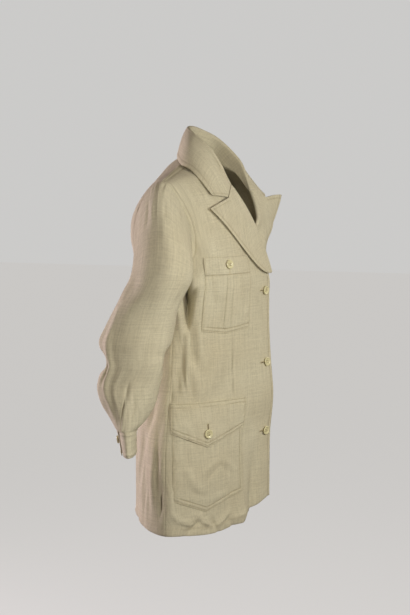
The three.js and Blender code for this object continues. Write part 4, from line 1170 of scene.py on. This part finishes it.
def sampled(grid, u, v):  # a place and normal of the outer layer, bilinear between grid points
    us, vs = grid["us"], grid["vs"]
    i = np.clip(np.searchsorted(us, u, side="right") - 1, 0, len(us) - 2)
    j = np.clip(np.searchsorted(vs, v, side="right") - 1, 0, len(vs) - 2)
    fu, fv = ((u - us[i]) / (us[i + 1] - us[i]))[:, None], ((v - vs[j]) / (vs[j + 1] - vs[j]))[:, None]
    found = []
    for values in (grid["outer"], grid["normal"]):
        below = lerp(values[j, i], values[j, i + 1], fu)
        above = lerp(values[j + 1, i], values[j + 1, i + 1], fu)
        found.append(lerp(below, above, fv))
    return found[0], unit(found[1])


def lineOn(grid, us, vs):
    u, v = np.broadcast_arrays(np.asarray(us, float), np.asarray(vs, float))
    return sampled(grid, u, v)


def ringQuads(rows, count, closed=False):  # faces between rings of points, also from last to first
    i, j = np.meshgrid(np.arange(count), np.arange(rows if closed else rows - 1))
    here, there, beside = j * count, (j + 1) % rows * count, (i + 1) % count
    return np.stack([here + i, here + beside, there + beside, there + i], -1).reshape(-1, 4)


thread = {"pitch": 3.1, "long": 2.5, "thick": 0.42, "sunk": 0.1}
# Stations of one stitch: share of its length, of its thickness, and height over the line
stitchStations = np.array([[-0.5, 0.45, -0.28], [-0.3, 1, 0.1], [0.3, 1, 0.1], [0.5, 0.45, -0.28]]).T


def stitchesAlong(points, normals):  # small tapered bars, end to end along a line on the cloth
    walked = np.concatenate([[0], np.cumsum(np.linalg.norm(np.diff(points, axis=0), axis=1))])
    middles = np.arange(thread["pitch"], walked[-1] - thread["pitch"] / 2, thread["pitch"])

    def at(values, s):
        return np.stack([np.interp(s, walked, values[:, k]) for k in range(3)], -1)

    shares, sizes, heights = stitchStations
    s = middles[:, None] + shares * thread["long"]
    centre = np.stack([at(points, s[:, k]) for k in range(4)], 1)
    up = at(normals, middles)[:, None]
    forward = unit(centre[:, 3] - centre[:, 0])[:, None]
    side = unit(np.cross(forward, up))
    centre = centre + up * (heights - thread["sunk"])[:, None]
    turns = np.radians([45, 135, 225, 315])
    ring = side[:, :, None] * np.cos(turns)[:, None] + up[:, :, None] * np.sin(turns)[:, None]
    corners = centre[:, :, None] + ring * (sizes * thread["thick"])[:, None, None]
    return corners.reshape(-1, 16, 3)


def stitchPiece(node, lines, mirror=False):
    corners = np.concatenate([stitchesAlong(*line) for line in lines])
    quads = np.concatenate([ringQuads(4, 4), [[3, 2, 1, 0], [12, 13, 14, 15]]])
    every = (np.arange(len(corners))[:, None, None] * 16 + quads).reshape(-1, 4)
    points = corners.reshape(-1, 3)
    uvs = points[every][..., :2]
    finishPiece(makeMesh(f"stitching_{node}", points, every, uvs, materials["thread"], mirror))


# Materials

def newGroup(name, inputs, outputs):
    group = bpy.data.node_groups.new(name, "ShaderNodeTree")
    for label, kind, value in inputs:
        socket = group.interface.new_socket(label, in_out="INPUT", socket_type=kind)
        socket.default_value = value
    for label, kind in outputs:
        group.interface.new_socket(label, in_out="OUTPUT", socket_type=kind)
    return group, group.nodes.new("NodeGroupInput"), group.nodes.new("NodeGroupOutput")


def mathNode(group, operation, a, b=None, clamp=False):
    node = group.nodes.new("ShaderNodeMath")
    node.operation, node.use_clamp = operation, clamp
    for socket, value in zip(node.inputs, (a, b)):
        if isinstance(value, (int, float)):
            socket.default_value = value
        elif value is not None:
            group.links.new(value, socket)
    return node.outputs[0]


def weighted(group, total, *pairs):  # a number plus each socket times its share
    for socket, share in pairs:
        total = mathNode(group, "ADD", total, mathNode(group, "MULTIPLY", socket, share))
    return total


def mixColour(tree, share, first, second):  # either colour may be a socket
    mix = tree.nodes.new("ShaderNodeMix")
    mix.data_type = "RGBA"
    for place, value in ((0, share), (6, first), (7, second)):
        if isinstance(value, tuple):
            mix.inputs[place].default_value = value
        else:
            tree.links.new(value, mix.inputs[place])
    return mix.outputs[2]


def noiseNode(group, vector, scale, detail=2.0, rough=0.5):
    node = group.nodes.new("ShaderNodeTexNoise")
    node.inputs["Scale"].default_value = scale
    node.inputs["Detail"].default_value = detail
    node.inputs["Roughness"].default_value = rough
    group.links.new(vector, node.inputs["Vector"])
    return node.outputs["Fac"]


def stretched(group, vector, x, y):
    node = group.nodes.new("ShaderNodeVectorMath")
    node.operation = "MULTIPLY"
    group.links.new(vector, node.inputs[0])
    node.inputs[1].default_value = (x, y, 1)
    return node.outputs[0]


# The linen's noises: steps a metre across and along, roughness, share. The first two are slubs,
# drawn out along one thread, then come longer streaks, and the last is an even mottle.
slubNoises = [
    (620, 14, 0.5, 0.45),
    (12, 560, 0.5, 0.45),
    (330, 16, 0.6, 0.55),
    (26, 360, 0.6, 0.35),
    (190, 240, 0.7, 0.5),
]
slubMean = 1.15  # of their sum


# Plain weave: warp shows where the product of the two thread waves is positive, weft elsewhere.
# The colour runs from Shade in the hollows between threads, painted shade, to Colour on their tops. The
# noises make some threads thicker and darker.
def weaveGroup():
    group, given, result = newGroup("plainWeave", [
        ("Grain", "NodeSocketVector", (0, 0, 0)), ("Threads", "NodeSocketFloat", 900.0),
        ("Slub", "NodeSocketFloat", 0.5), ("Colour", "NodeSocketColor", (0.6, 0.5, 0.35, 1)),
        ("Shade", "NodeSocketColor", (0.4, 0.32, 0.2, 1)),
    ], [("Colour", "NodeSocketColor"), ("Height", "NodeSocketFloat"), ("Roughness", "NodeSocketFloat")])
    grain = given.outputs["Grain"]
    split = group.nodes.new("ShaderNodeSeparateXYZ")
    group.links.new(grain, split.inputs[0])
    waves = []
    for axis, stretch in enumerate(((40, 9), (9, 40))):
        count = mathNode(group, "MULTIPLY", split.outputs[axis], given.outputs["Threads"])
        wander = noiseNode(group, stretched(group, grain, *stretch), 5)
        turns = mathNode(group, "MULTIPLY", weighted(group, count, (wander, 0.9)), math.pi)
        waves.append(mathNode(group, "SINE", turns))
    crossed = mathNode(group, "MULTIPLY", *waves)
    over = mathNode(group, "ADD", mathNode(group, "MULTIPLY", crossed, 1.2), 0.5, True)
    mixed = group.nodes.new("ShaderNodeMix")
    group.links.new(over, mixed.inputs["Factor"])
    for wave, place in zip(waves, ("B", "A")):
        group.links.new(mathNode(group, "ABSOLUTE", wave), mixed.inputs[place])
    woven = mixed.outputs["Result"]
    noises = [(noiseNode(group, stretched(group, grain, x, y), 1, 3, rough), share)
              for x, y, rough, share in slubNoises]
    slubs = mathNode(group, "MULTIPLY", weighted(group, -slubMean, *noises), given.outputs["Slub"])
    # the weave's hollows take the Shade colour, painted shade; the slubs are the threads' own darker tone
    tone = mathNode(group, "ADD", weighted(group, 0.5, (woven, 0.42), (slubs, 1.5)), 0, True)
    colour = mixColour(group, tone, given.outputs["Shade"], given.outputs["Colour"])
    group.links.new(colour, result.inputs["Colour"])
    group.links.new(weighted(group, woven, (slubs, 1.2)), result.inputs["Height"])
    group.links.new(weighted(group, 0.95, (woven, -0.12)), result.inputs["Roughness"])
    return group


# Patches: soft noise in Object coordinates that warms and darkens a colour a little
def patchGroup():
    group, given, result = newGroup("softPatches", [
        ("Colour", "NodeSocketColor", (0.5, 0.5, 0.5, 1)), ("Tint", "NodeSocketColor", (0.5, 0.4, 0.3, 1)),
        ("Size", "NodeSocketFloat", 8.0), ("Amount", "NodeSocketFloat", 0.3),
    ], [("Colour", "NodeSocketColor")])
    place = group.nodes.new("ShaderNodeTexCoord")
    noise = noiseNode(group, place.outputs["Object"], 1, 4, 0.6)
    group.links.new(given.outputs["Size"], noise.node.inputs["Scale"])
    above = mathNode(group, "SUBTRACT", noise, 0.35, True)
    share = mathNode(group, "MULTIPLY", above, given.outputs["Amount"])
    colour = mixColour(group, share, given.outputs["Colour"], given.outputs["Tint"])
    group.links.new(colour, result.inputs["Colour"])
    return group


def linear(r, g, b):
    values = [c / 255 for c in (r, g, b)]
    return tuple(c / 12.92 if c <= 0.04045 else ((c + 0.055) / 1.055) ** 2.4 for c in values) + (1.0,)


linenLook = {
    "colour": linear(225, 217, 188),
    "shade": linear(157, 147, 117),
    "tint": linear(206, 190, 154),
    "patch": 9.0,  # patches a metre
    "amount": 0.9,
    "line": linear(122, 106, 78),  # painted shade of pressed seam lines and of the sleeve's slit
    "lineShare": 0.42,
    "threads": 820.0,  # a metre
    "slub": 0.7,
    "bump": 0.00035,
    "strength": 0.8,
    "sheen": 0.08,
    "shine": 0.25,
}
plainLooks = {
    "thread": {
        "name": "sewing thread", "colour": linear(206, 193, 156), "tint": linear(176, 158, 118),
        "patch": 300.0, "amount": 0.8, "rough": 0.7, "coat": 0.0,
    },
    "button": {
        "name": "cream button", "colour": linear(222, 214, 170), "tint": linear(186, 170, 118),
        "patch": 160.0, "amount": 0.6, "rough": 0.34, "coat": 0.25,
        "line": linear(92, 82, 48), "lineShare": 0.9,  # painted shade in the four holes
    },
    # painted shade: the dark box inside a buttonhole's cut
    "slit": {
        "name": "painted shade of a buttonhole slit", "colour": linear(74, 62, 44), "tint": linear(48, 40, 28),
        "patch": 200.0, "amount": 0.8, "rough": 0.9, "coat": 0.0,
    },
}

weave, patches = weaveGroup(), patchGroup()


def newMaterial(name):
    material = bpy.data.materials.new(name)
    material.use_nodes = True
    return material, material.node_tree, material.node_tree.nodes["Principled BSDF"]


def putGroup(tree, group, **values):
    node = tree.nodes.new("ShaderNodeGroup")
    node.node_tree = group
    for label, value in values.items():
        node.inputs[label].default_value = value
    return node


def patched(tree, look):
    node = putGroup(tree, patches, Colour=look["colour"], Tint=look["tint"], Size=look["patch"],
                    Amount=look["amount"])
    return node.outputs["Colour"]


def paintShadeByPress(tree, colour, look):  # pressed places, marked on the mesh, darkened towards the line colour: painted shade in grooves and holes
    press = tree.nodes.new("ShaderNodeAttribute")
    press.attribute_name = "press"
    share = mathNode(tree, "MULTIPLY", press.outputs["Fac"], look["lineShare"])
    return mixColour(tree, share, colour, look["line"])


def linenMaterial(look):
    material, tree, shader = newMaterial("linen")
    grain = tree.nodes.new("ShaderNodeUVMap")
    grain.uv_map = "grain"
    cloth = putGroup(tree, weave, Threads=look["threads"], Slub=look["slub"], Shade=look["shade"])
    bump = tree.nodes.new("ShaderNodeBump")
    bump.inputs["Distance"].default_value = look["bump"]
    bump.inputs["Strength"].default_value = look["strength"]
    tree.links.new(grain.outputs["UV"], cloth.inputs["Grain"])
    tree.links.new(patched(tree, look), cloth.inputs["Colour"])
    tree.links.new(paintShadeByPress(tree, cloth.outputs["Colour"], look), shader.inputs["Base Color"])
    tree.links.new(cloth.outputs["Roughness"], shader.inputs["Roughness"])
    tree.links.new(cloth.outputs["Height"], bump.inputs["Height"])
    tree.links.new(bump.outputs["Normal"], shader.inputs["Normal"])
    shader.inputs["Sheen Weight"].default_value = look["sheen"]
    shader.inputs["Specular IOR Level"].default_value = look["shine"]
    return material


def plainMaterial(look):
    material, tree, shader = newMaterial(look["name"])
    colour = patched(tree, look)
    if "line" in look:
        colour = paintShadeByPress(tree, colour, look)
    tree.links.new(colour, shader.inputs["Base Color"])
    shader.inputs["Roughness"].default_value = look["rough"]
    shader.inputs["Coat Weight"].default_value = look["coat"]
    return material


materials = {"linen": linenMaterial(linenLook)}
materials |= {key: plainMaterial(look) for key, look in plainLooks.items()}
print("materials made")


# The cloth pieces

# Thickness in millimetres, flat size in metres, area where it isn't their product, and whether
# the sheet hangs or is folded
sheets = {
    "front": (cut["body"], (0.29, 0.74), 0.178, "hung"),
    "back": (cut["body"], (0.56, 0.75), 0.34, "hung"),
    "sleeve": (cut["body"], (0.46, 0.52), 0.15, "hung"),
    "cuff": (cut["body"], (0.27, 0.047), None, "hung"),
    "lapel": (cut["doubled"], (0.11, 0.2), 0.014, "folded"),
    "collar": (cut["doubled"], (0.46, 0.13), 0.046, "folded"),
    "chest": (cut["pocket"], (0.12, 0.15), None, "hung"),
    "lower": (cut["pocket"], (0.168, 0.205), None, "hung"),
    "flap": (cut["pocket"], (0.17, 0.09), 0.0125, "hung"),
}
sides = {"right": True, "left": False}  # whether the piece is mirrored
hemMark, panelTop = 0.0185, 0.9985  # share up at the hem's stitches, and where a panel ends


def armholeRows(panel, top):  # rows beside the armhole, and the share of its stitches from the seam
    up = np.linspace(underarmRow / shoulderRow + 0.01, top, 120)
    return up, seams["armholeStitch"] / rowLength(panel, up * shoulderRow)


for side, mirror in sides.items():
    node = f"front_{side}"
    marks = [seams["edgeStitch"] / spans["front"], 1 - seams["armholeStitch"] / spans["front"]]
    us = refined(80, marks, 0.0022, 0.0008, 0.9992)
    vs = refined(200, [hemMark], 0.0012, 0.0, panelTop)
    grid = makeCloth(node, frontSurface(side), us, vs, sheets["front"], mirror)

    low = vs[vs < (breakRow - 0.15) / shoulderRow]
    edgeLine = lineOn(grid, seams["edgeStitch"] / rowLength(frontPanel, low * shoulderRow), low)
    foot = vs[:40]
    risen = frontPoint(side, 0.5, foot * shoulderRow)[:, 2] - frontPoint(side, 0.5, 0.0)[2]
    hemRow = lineOn(grid, np.linspace(0.02, 0.995, 200), np.interp(seams["hemStitch"], risen, foot))
    up, inset = armholeRows(frontPanel, 0.99)
    lines = [edgeLine, hemRow, lineOn(grid, 1 - inset, up)]
    for stitch in seams["shoulderStitches"]:
        lines.append(lineOn(grid, np.linspace(0.05, 0.97, 80), panelTop - stitch / spans["rows"]))
    stitchPiece(node, lines, mirror)
print("fronts made")

us = refined(138, [0.012, 0.988], 0.0012, 0.0004, 0.9996)
vs = refined(198, [hemMark], 0.0012, 0.0, panelTop)
grid = makeCloth("back", backSurface, us, vs, sheets["back"], kind="centred")
up, inset = armholeRows(backPanel, 0.985)
inset = inset / 2  # the back runs from one side seam to the other
hemRow = lineOn(grid, np.linspace(0.005, 0.995, 400), seams["hemStitch"] / spans["back"])
stitchPiece("back", [hemRow, lineOn(grid, inset, up), lineOn(grid, 1 - inset, up)])
print("back made")

cuffGrids = {}
for side, mirror in sides.items():
    slitSteps = np.linspace(0.43, 0.54, 45)  # close ones, for the slit above the cuff
    us = np.unique(np.concatenate([np.linspace(0, 1, 121)[:-1], slitSteps]).round(6))
    vs = np.concatenate([np.linspace(0, capShare, 54), np.linspace(capShare, 1, 114)[1:]])
    makeCloth(f"sleeve_{side}", sleeveSurface(side), us, vs, sheets["sleeve"], mirror, "tube")

    node, mark = f"cuff_{side}", cuffShape["stitch"] / cuffShape["tall"]
    vs = refined(14, [mark, 1 - mark], 0.012)
    grid = makeCloth(node, cuffSurface, refined(110), vs, sheets["cuff"], mirror)
    rows = [lineOn(grid, np.linspace(0.01, 0.99, 150), share) for share in (mark, 1 - mark)]
    stitchPiece(node, rows, mirror)
    cuffGrids[side] = grid
print("sleeves made")

mark = 1 - seams["edgeStitch"] / spans["lapel"]
for side, mirror in sides.items():
    node = f"lapel_{side}"
    knee = lerp(turnShare, 1, turned[side]["notch"][0] / turned[side]["lapelTip"][0])
    us = np.unique(np.concatenate([np.linspace(0, standShare, 3), np.linspace(standShare, turnShare, 15),
                                   np.linspace(turnShare, 1, 46), [knee]]))
    vs = refined(70, [mark], 0.005)
    grid = makeCloth(node, lapelSurface(side), us, vs, sheets["lapel"], mirror)
    up = np.linspace(0.05, mark, 120)
    outer = 1 - seams["edgeStitch"] / lapelWidth(up) * (1 - turnShare)
    topLine = lineOn(grid, np.linspace(knee + 0.01, 0.95, 40), mark)
    stitchPiece(node, [lineOn(grid, outer, up), topLine], mirror)

free = lerp(turnShare, 1, gorgeKnee)  # from here outward the collar's ends hang free
us = np.unique(np.concatenate([np.linspace(0, collarStand, 14), np.linspace(collarStand, turnShare, 13),
                               np.linspace(turnShare, 1, 40), [free]]))
vs = refined(210, [collarEnd, 1 - collarEnd], 0.0015)
grid = makeCloth("collar", collarSurface, us, vs, sheets["collar"], kind="centred")
line = lerp(turnShare, 1, 1 - seams["edgeStitch"] / spans["fall"])
ends = np.linspace(free + 0.02, line, 30)
roundNeck = np.linspace(collarEnd, 1 - collarEnd, 400)
stitchPiece("collar", [
    lineOn(grid, line, roundNeck), lineOn(grid, ends, collarEnd), lineOn(grid, ends, 1 - collarEnd),
])
print("collar made")

shares = np.linspace(0, 1, 160)
markWidth, bandSlack = 0.7, 4  # of a stitched line, and of the band's depth towards the bottom's point


def patchSize(patch):
    return patch["outer"] - patch["inner"], patch["top"] - patch["corner"]


def bottomRow(grid, patch, stitch):  # a row of stitches along the pointed bottom
    margin = stitch / patchSize(patch)[0]
    inside = (shares > margin) & (shares < 1 - margin)
    depth = patch["top"] - patchBottom(patch, shares)
    return lineOn(grid, shares[inside], (stitch / depth)[inside])


def topRow(grid, patch, stitch):
    return lineOn(grid, shares, 1 - stitch / (patch["top"] - patchBottom(patch, shares)))


for side, mirror in sides.items():
    for kind, pocket in (("chest", chestPocket), ("lower", lowerPocket)):
        node = f"pocket_{kind}_{side}"
        width, tall = patchSize(pocket)
        first, second = stitchRows["pocketSides"]
        marksU = [first / width, second / width, 1 - first / width, 1 - second / width, pocket["pointAt"]]
        marksV = [first / tall, second / tall]
        if kind == "chest":
            marksU += [pocket["pointAt"] + way * stitchRows["pleat"] / width for way in (-1, 1)]
            marksV += [1 - stitchRows["band"] / (tall + bandSlack)]
        us, vs = refined(44, marksU, markWidth / width), refined(52, marksV, markWidth / tall)
        surface = pocketSurface(side, kind)
        grid = makeCloth(node, surface, us, vs, sheets[kind], mirror)
        up = shares[shares > first / tall]
        lines = [bottomRow(grid, pocket, first), lineOn(grid, first / width, up),
                 lineOn(grid, 1 - first / width, up), bottomRow(grid, pocket, second)]
        if kind == "lower":
            lines.append(lineOn(grid, second / width, shares[shares > second / tall]))
        else:
            lines.append(topRow(grid, pocket, stitchRows["band"]))
        stitchPiece(node, lines, mirror)

    node = f"flap_{side}"
    width, tall = patchSize(lowerFlap)
    first, second = stitchRows["flapEdge"]
    marksU = [first / width, second / width, 1 - first / width, 1 - second / width, lowerFlap["pointAt"]]
    marksV = [first / tall, second / tall] + [1 - m / tall for m in stitchRows["flapTop"]]
    us, vs = refined(56, marksU, markWidth / width), refined(30, marksV, markWidth / tall)
    grid = makeCloth(node, flapSurface(side), us, vs, sheets["flap"], mirror)
    up = np.linspace(first / tall, 1, 60)
    lines = [bottomRow(grid, lowerFlap, first), lineOn(grid, first / width, up),
             lineOn(grid, 1 - first / width, up), bottomRow(grid, lowerFlap, second)]
    stitchPiece(node, lines + [topRow(grid, lowerFlap, m) for m in stitchRows["flapTop"]], mirror)
print("pockets made")


# Buttons and buttonholes

button = {
    "radius": 9.0,
    "cuffRadius": 7.5,
    "height": 3.4,
    "hole": 1.5,
    "holeAt": 1.944,  # from the middle, both ways
    "deep": 1.9,
    "bar": 2.565,  # half the thread that shows between two holes
    "gap": 1.2,  # under it, for its thread
    "cuffGap": 0.6,
    "round": 40,  # points round it, and squares across its middle
}
# Turned profile as shares of radius and height: back, rounded side, raised rim, dished middle
buttonProfile = np.array([
    (0.425, 0), (0.72, 0), (0.93, 0.18), (1, 0.45), (0.985, 0.75), (0.92, 0.95), (0.84, 1), (0.75, 0.93),
    (0.66, 0.74), (0.58, 0.66), (0.5, 0.62),
])
buttonAt = {"chest": 14, "flap": 26, "fronts": (-249, -392, -530), "cuff": 0.45}
# A buttonhole: the stitches' loop round the slit, and points round and along it
worked = {"long": 22, "wide": 1.25, "thick": 0.62, "slitWide": 0.55, "stitches": 132, "round": 8}


def ringTurns(count):
    return np.linspace(0, 2 * math.pi, count + 1)[:-1]


def makeButton(node, radius, point, normal, mirror):
    # the middle is a square grid bent to the round edge, with four holes pressed into it
    count, tall, scale = button["round"], button["height"], radius / button["radius"]
    hub, dish = buttonProfile[-1] * [radius, tall]
    r, h = (buttonProfile * [radius, tall]).T[:, :, None]
    turns = ringTurns(count)
    body = xyz(r * np.cos(turns), r * np.sin(turns), h)
    gx, gy = np.meshgrid(*[np.linspace(-1, 1, count + 1)] * 2)
    px, py = gx * np.sqrt(1 - gy ** 2 / 2) * hub, gy * np.sqrt(1 - gx ** 2 / 2) * hub
    hole, holeAt = button["hole"] * scale, button["holeAt"] * scale
    press = 1 - smooth(np.hypot(np.abs(px) - holeAt, np.abs(py) - holeAt), hole * 0.55, hole)
    sag = 0.03 * tall * (1 - np.maximum(np.abs(gx), np.abs(gy)))
    disc = xyz(px, py, dish - sag - press * button["deep"])
    under = xyz(px, py, 0) * buttonProfile[0, 0] / buttonProfile[-1, 0]
    row = count + 1
    i, j = np.meshgrid(np.arange(count), np.arange(count))
    square = j[..., None] * row + i[..., None] + np.array([0, 1, row + 1, row])
    square = square.reshape(-1, 4)
    start = body.size // 3
    points = np.concatenate([body.reshape(-1, 3), disc.reshape(-1, 3), under.reshape(-1, 3)])
    quads = np.concatenate([ringQuads(len(body), count), square + start, square[:, ::-1] + start + row * row])
    z = unit(normal)
    x = unit(np.cross(np.array([0, 0, 1.0]), z))
    axes = np.array([x, np.cross(z, x), z])
    # The holes are marked so that the button's material darkens them: painted shade.
    marks = np.zeros(len(points))
    marks[start:start + press.size] = press.ravel()
    piece = makeMesh(f"cream_{node}", point + points @ axes, quads, points[quads][..., :2],
                     materials["button"], mirror, marks)
    finishPiece(piece, node)
    bar = np.array([-1, 0, 1]) * button["bar"] * scale
    return [(point + xyz(way * holeAt, bar, dish + 0.15) @ axes, z) for way in (-1, 1)]


def threadBars(name, bars, mirror):  # two strands over each pair of holes, bent down into them
    rings = []
    turns = ringTurns(6)
    s = np.array([-1, -0.7, 0, 0.7, 1])[:, None]
    for points, normal in bars:
        reach = points[-1] - points[0]
        aside = np.cross(unit(reach), normal)
        for offset in (-0.32, 0.32):
            centre = points[1] + reach / 2 * s + normal * (0.3 - 1.1 * s ** 4) + aside * offset
            ring = centre[:, None] + 0.3 * (aside * np.cos(turns)[:, None] + normal * np.sin(turns)[:, None])
            rings.append(ring.reshape(-1, 3))
    every = np.concatenate([ringQuads(5, 6)[:, ::-1] + 30 * k for k in range(len(rings))])
    points = np.concatenate(rings)
    finishPiece(makeMesh(name, points, every, points[every][..., :2], materials["thread"], mirror))


def buttonhole(name, point, normal, direction, mirror):
    # a narrow loop of close stitches round a slit, laid on the cloth; the slit is a thin dark box, painted
    # shade in the cut
    n = unit(normal)
    d = unit(direction - n * (direction @ n))
    w = np.cross(n, d)
    wide, count = worked["wide"], worked["stitches"]
    reach = worked["long"] / 2 - wide
    stops = np.cumsum([0, 2 * reach, math.pi * wide, 2 * reach, math.pi * wide])
    s = np.linspace(0, stops[-1], count + 1)[:-1]
    middle = np.interp(s, stops, np.array([-1, 1, 1, -1, -1]) * reach)
    turn = np.interp(s, stops, np.radians([-90, -90, 90, 90, 270]))
    aside = np.stack([middle + wide * np.cos(turn), wide * np.sin(turn)], -1)
    centre = point + aside @ np.array([d, w]) + n * 0.1
    tangent = unit(np.roll(centre, -1, 0) - np.roll(centre, 1, 0))
    out = np.cross(tangent, n)[:, None]
    turns = ringTurns(worked["round"])[:, None]
    size = worked["thick"] * (1 + 0.22 * np.sign(np.sin(np.arange(count) * math.pi / 1.5)))
    loop = centre[:, None] + size[:, None, None] * (out * np.cos(turns) + n * np.sin(turns))
    # The slit's box is dark: painted shade in the cut.
    corners = np.array([(a * reach, b * worked["slitWide"], h) for h in (-0.2, 0.28)
                        for a, b in ((-1, -1), (1, -1), (1, 1), (-1, 1))])
    box = np.array([[3, 2, 1, 0], [4, 5, 6, 7], [0, 1, 5, 4], [1, 2, 6, 5], [2, 3, 7, 6], [3, 0, 4, 7]])
    for label, points, quads, material in (
        (name, loop.reshape(-1, 3), ringQuads(count, worked["round"], True), "thread"),
        (name + "_slit_painted_shade", point + corners @ np.array([d, w, n]), box, "slit"),
    ):
        uvs = points[quads][..., :2]
        finishPiece(makeMesh(label, points, quads, uvs, materials[material], mirror))


def placeOn(side, distance, height, lift):
    across, row = frontPlace(side, np.array([float(distance)]), np.array([float(height)]))
    normal = frontNormal(side, across, row)[0]
    return frontPoint(side, across, row)[0] + normal * lift, normal


def fasten(name, side, distance, height, cloth, holeAside, holeUp, holeLift, mirror):
    # a button over the cloth, and its buttonhole, which runs sideways or down from it
    point, normal = placeOn(side, distance, height, cloth + button["gap"])
    bars = makeButton(f"button_{name}", button["radius"], point, normal, mirror)
    point, normal = placeOn(side, distance + holeAside, height + holeUp, cloth + holeLift)
    direction = np.array([1.0, 0, 0]) if holeAside else np.array([0, 0, -1.0])
    buttonhole(f"buttonhole_{name}", point, normal, direction, mirror)
    return bars


def middleOf(patch):
    return lerp(patch["inner"], patch["outer"], patch["pointAt"])


for side, mirror in sides.items():
    up = 1 - buttonAt["chest"] / (chestPocket["top"] - chestPocket["point"])
    cloth = pocketLift(chestPocket, chestPocket["pointAt"], up) + cut["pocket"] / 2
    height = chestPocket["top"] - buttonAt["chest"]
    bars = fasten(f"chest_{side}", side, middleOf(chestPocket), height, cloth, 0, -8, 0.3, mirror)

    height = lowerFlap["point"] + buttonAt["flap"]
    cloth = flapLift(middleOf(lowerFlap), height) + cut["pocket"] / 2
    bars += fasten(f"flap_{side}", side, middleOf(lowerFlap), height, cloth, 0, 9, 0.1, mirror)

    place = cuffShape["overlap"] / 2 / (1 + cuffShape["overlap"])
    points, normals = sampled(cuffGrids[side], np.array([place]), np.array([buttonAt["cuff"]]))
    point = points[0] - normals[0] * (cut["body"] + button["cuffGap"])
    bars += makeButton(f"button_cuff_{side}", button["cuffRadius"], point, -normals[0], mirror)
    threadBars(f"button_thread_{side}", bars, mirror)

bars = []
for number, height in enumerate(buttonAt["fronts"]):
    bars += fasten(f"front_{number + 1}", "right", 0, height, cut["body"] / 2, 7, 0, 0.1, True)
threadBars("button_thread_front", bars, True)
print("buttons made")


# Floor, light and camera

studio = {
    "floor": -1.36,  # metres under the neck
    "floorHalf": 14,
    "floorColour": linear(118, 116, 113),
    "floorRough": 0.85,
    "floorGlow": 0.55,
    "floorGlowColour": (1, 0.99, 0.97, 1),
    "world": (1.0, 0.8, 0.66, 1),
    "worldStrength": 0.16,
    "backdrop": (0.6, 0.595, 0.585, 1),
    "azimuth": -70,  # 0 looks along +Y
    "pitch": 6.1,
    "distance": 2.7,
    "lens": 79.0,
    "farthest": 60,
    "aim": -0.33,  # height at which the lamps point
}
azimuth, pitch = math.radians(studio["azimuth"]), math.radians(studio["pitch"])
back = np.array([math.sin(azimuth), -math.cos(azimuth), 0])  # from the jacket to the camera
toRight = np.array([math.cos(azimuth), math.sin(azimuth), 0])

floorMesh = bpy.data.meshes.new("floor")
half = studio["floorHalf"]
corners = [(-half, -half), (half, -half), (half, half), (-half, half)]
floorMesh.from_pydata([(x, y, studio["floor"]) for x, y in corners], [], [(0, 1, 2, 3)])
floorMaterial, tree, shader = newMaterial("pale floor")
shader.inputs["Base Color"].default_value = studio["floorColour"]
shader.inputs["Roughness"].default_value = studio["floorRough"]
seen = tree.nodes.new("ShaderNodeLightPath")  # the floor glows a little, without lighting the jacket
glow = mathNode(tree, "MULTIPLY", seen.outputs["Is Camera Ray"], studio["floorGlow"])
tree.links.new(glow, shader.inputs["Emission Strength"])
shader.inputs["Emission Color"].default_value = studio["floorGlowColour"]
floorMesh.materials.append(floorMaterial)
floor = bpy.data.objects.new("floor", floorMesh)
bpy.context.scene.collection.objects.link(floor)

world = bpy.data.worlds.new("studio")
world.use_nodes = True
nodes, links = world.node_tree.nodes, world.node_tree.links
nodes["Background"].inputs["Color"].default_value = studio["world"]
nodes["Background"].inputs["Strength"].default_value = studio["worldStrength"]
backdrop = nodes.new("ShaderNodeBackground")  # what shows behind the jacket is as pale as the floor
backdrop.inputs["Color"].default_value = studio["backdrop"]
rays, mix = nodes.new("ShaderNodeLightPath"), nodes.new("ShaderNodeMixShader")
links.new(rays.outputs["Is Camera Ray"], mix.inputs["Fac"])
links.new(nodes["Background"].outputs[0], mix.inputs[1])
links.new(backdrop.outputs[0], mix.inputs[2])
links.new(mix.outputs[0], nodes["World Output"].inputs["Surface"])
bpy.context.scene.world = world
bpy.context.scene.view_settings.view_transform = "Standard"

target = np.array([0, 0, studio["aim"]])
lamps = [
    # name, metres towards the camera, to the right and up, width, watts, colour
    ("key", 0.95, 1.15, 0.36, 0.42, 10.5, (1.0, 0.995, 0.945)),
    ("front", 1.5, 0.16, 0.36, 0.42, 7.0, (1.0, 0.985, 0.94)),
    ("rim", -0.72, -2.0, 0.0, 0.42, 41, (1.0, 0.86, 0.98)),
    ("far", -1.5, 1.6, 0.9, 1.2, 7, (1.0, 0.98, 0.95)),
]
for name, depth, right, up, size, power, colour in lamps:
    lamp = bpy.data.lights.new(name, "AREA")
    lamp.shape, lamp.size, lamp.energy, lamp.color = "DISK", size, power, colour
    way = back * depth + toRight * right + np.array([0, 0, up])
    holder = bpy.data.objects.new(name, lamp)
    holder.location = target + way
    holder.visible_camera = False
    holder.rotation_euler = Vector(-way).to_track_quat("-Z", "Y").to_euler()
    bpy.context.scene.collection.objects.link(holder)

camera = bpy.data.objects.new("camera", bpy.data.cameras.new("camera"))
camera.data.lens = studio["lens"]
camera.data.clip_end = studio["farthest"]
camera.location = back * studio["distance"]
look = -back * math.cos(pitch) + np.array([0, 0, -math.sin(pitch)])
camera.rotation_euler = Vector(look).to_track_quat("-Z", "Y").to_euler()
bpy.context.scene.collection.objects.link(camera)
bpy.context.scene.camera = camera
print("studio made")
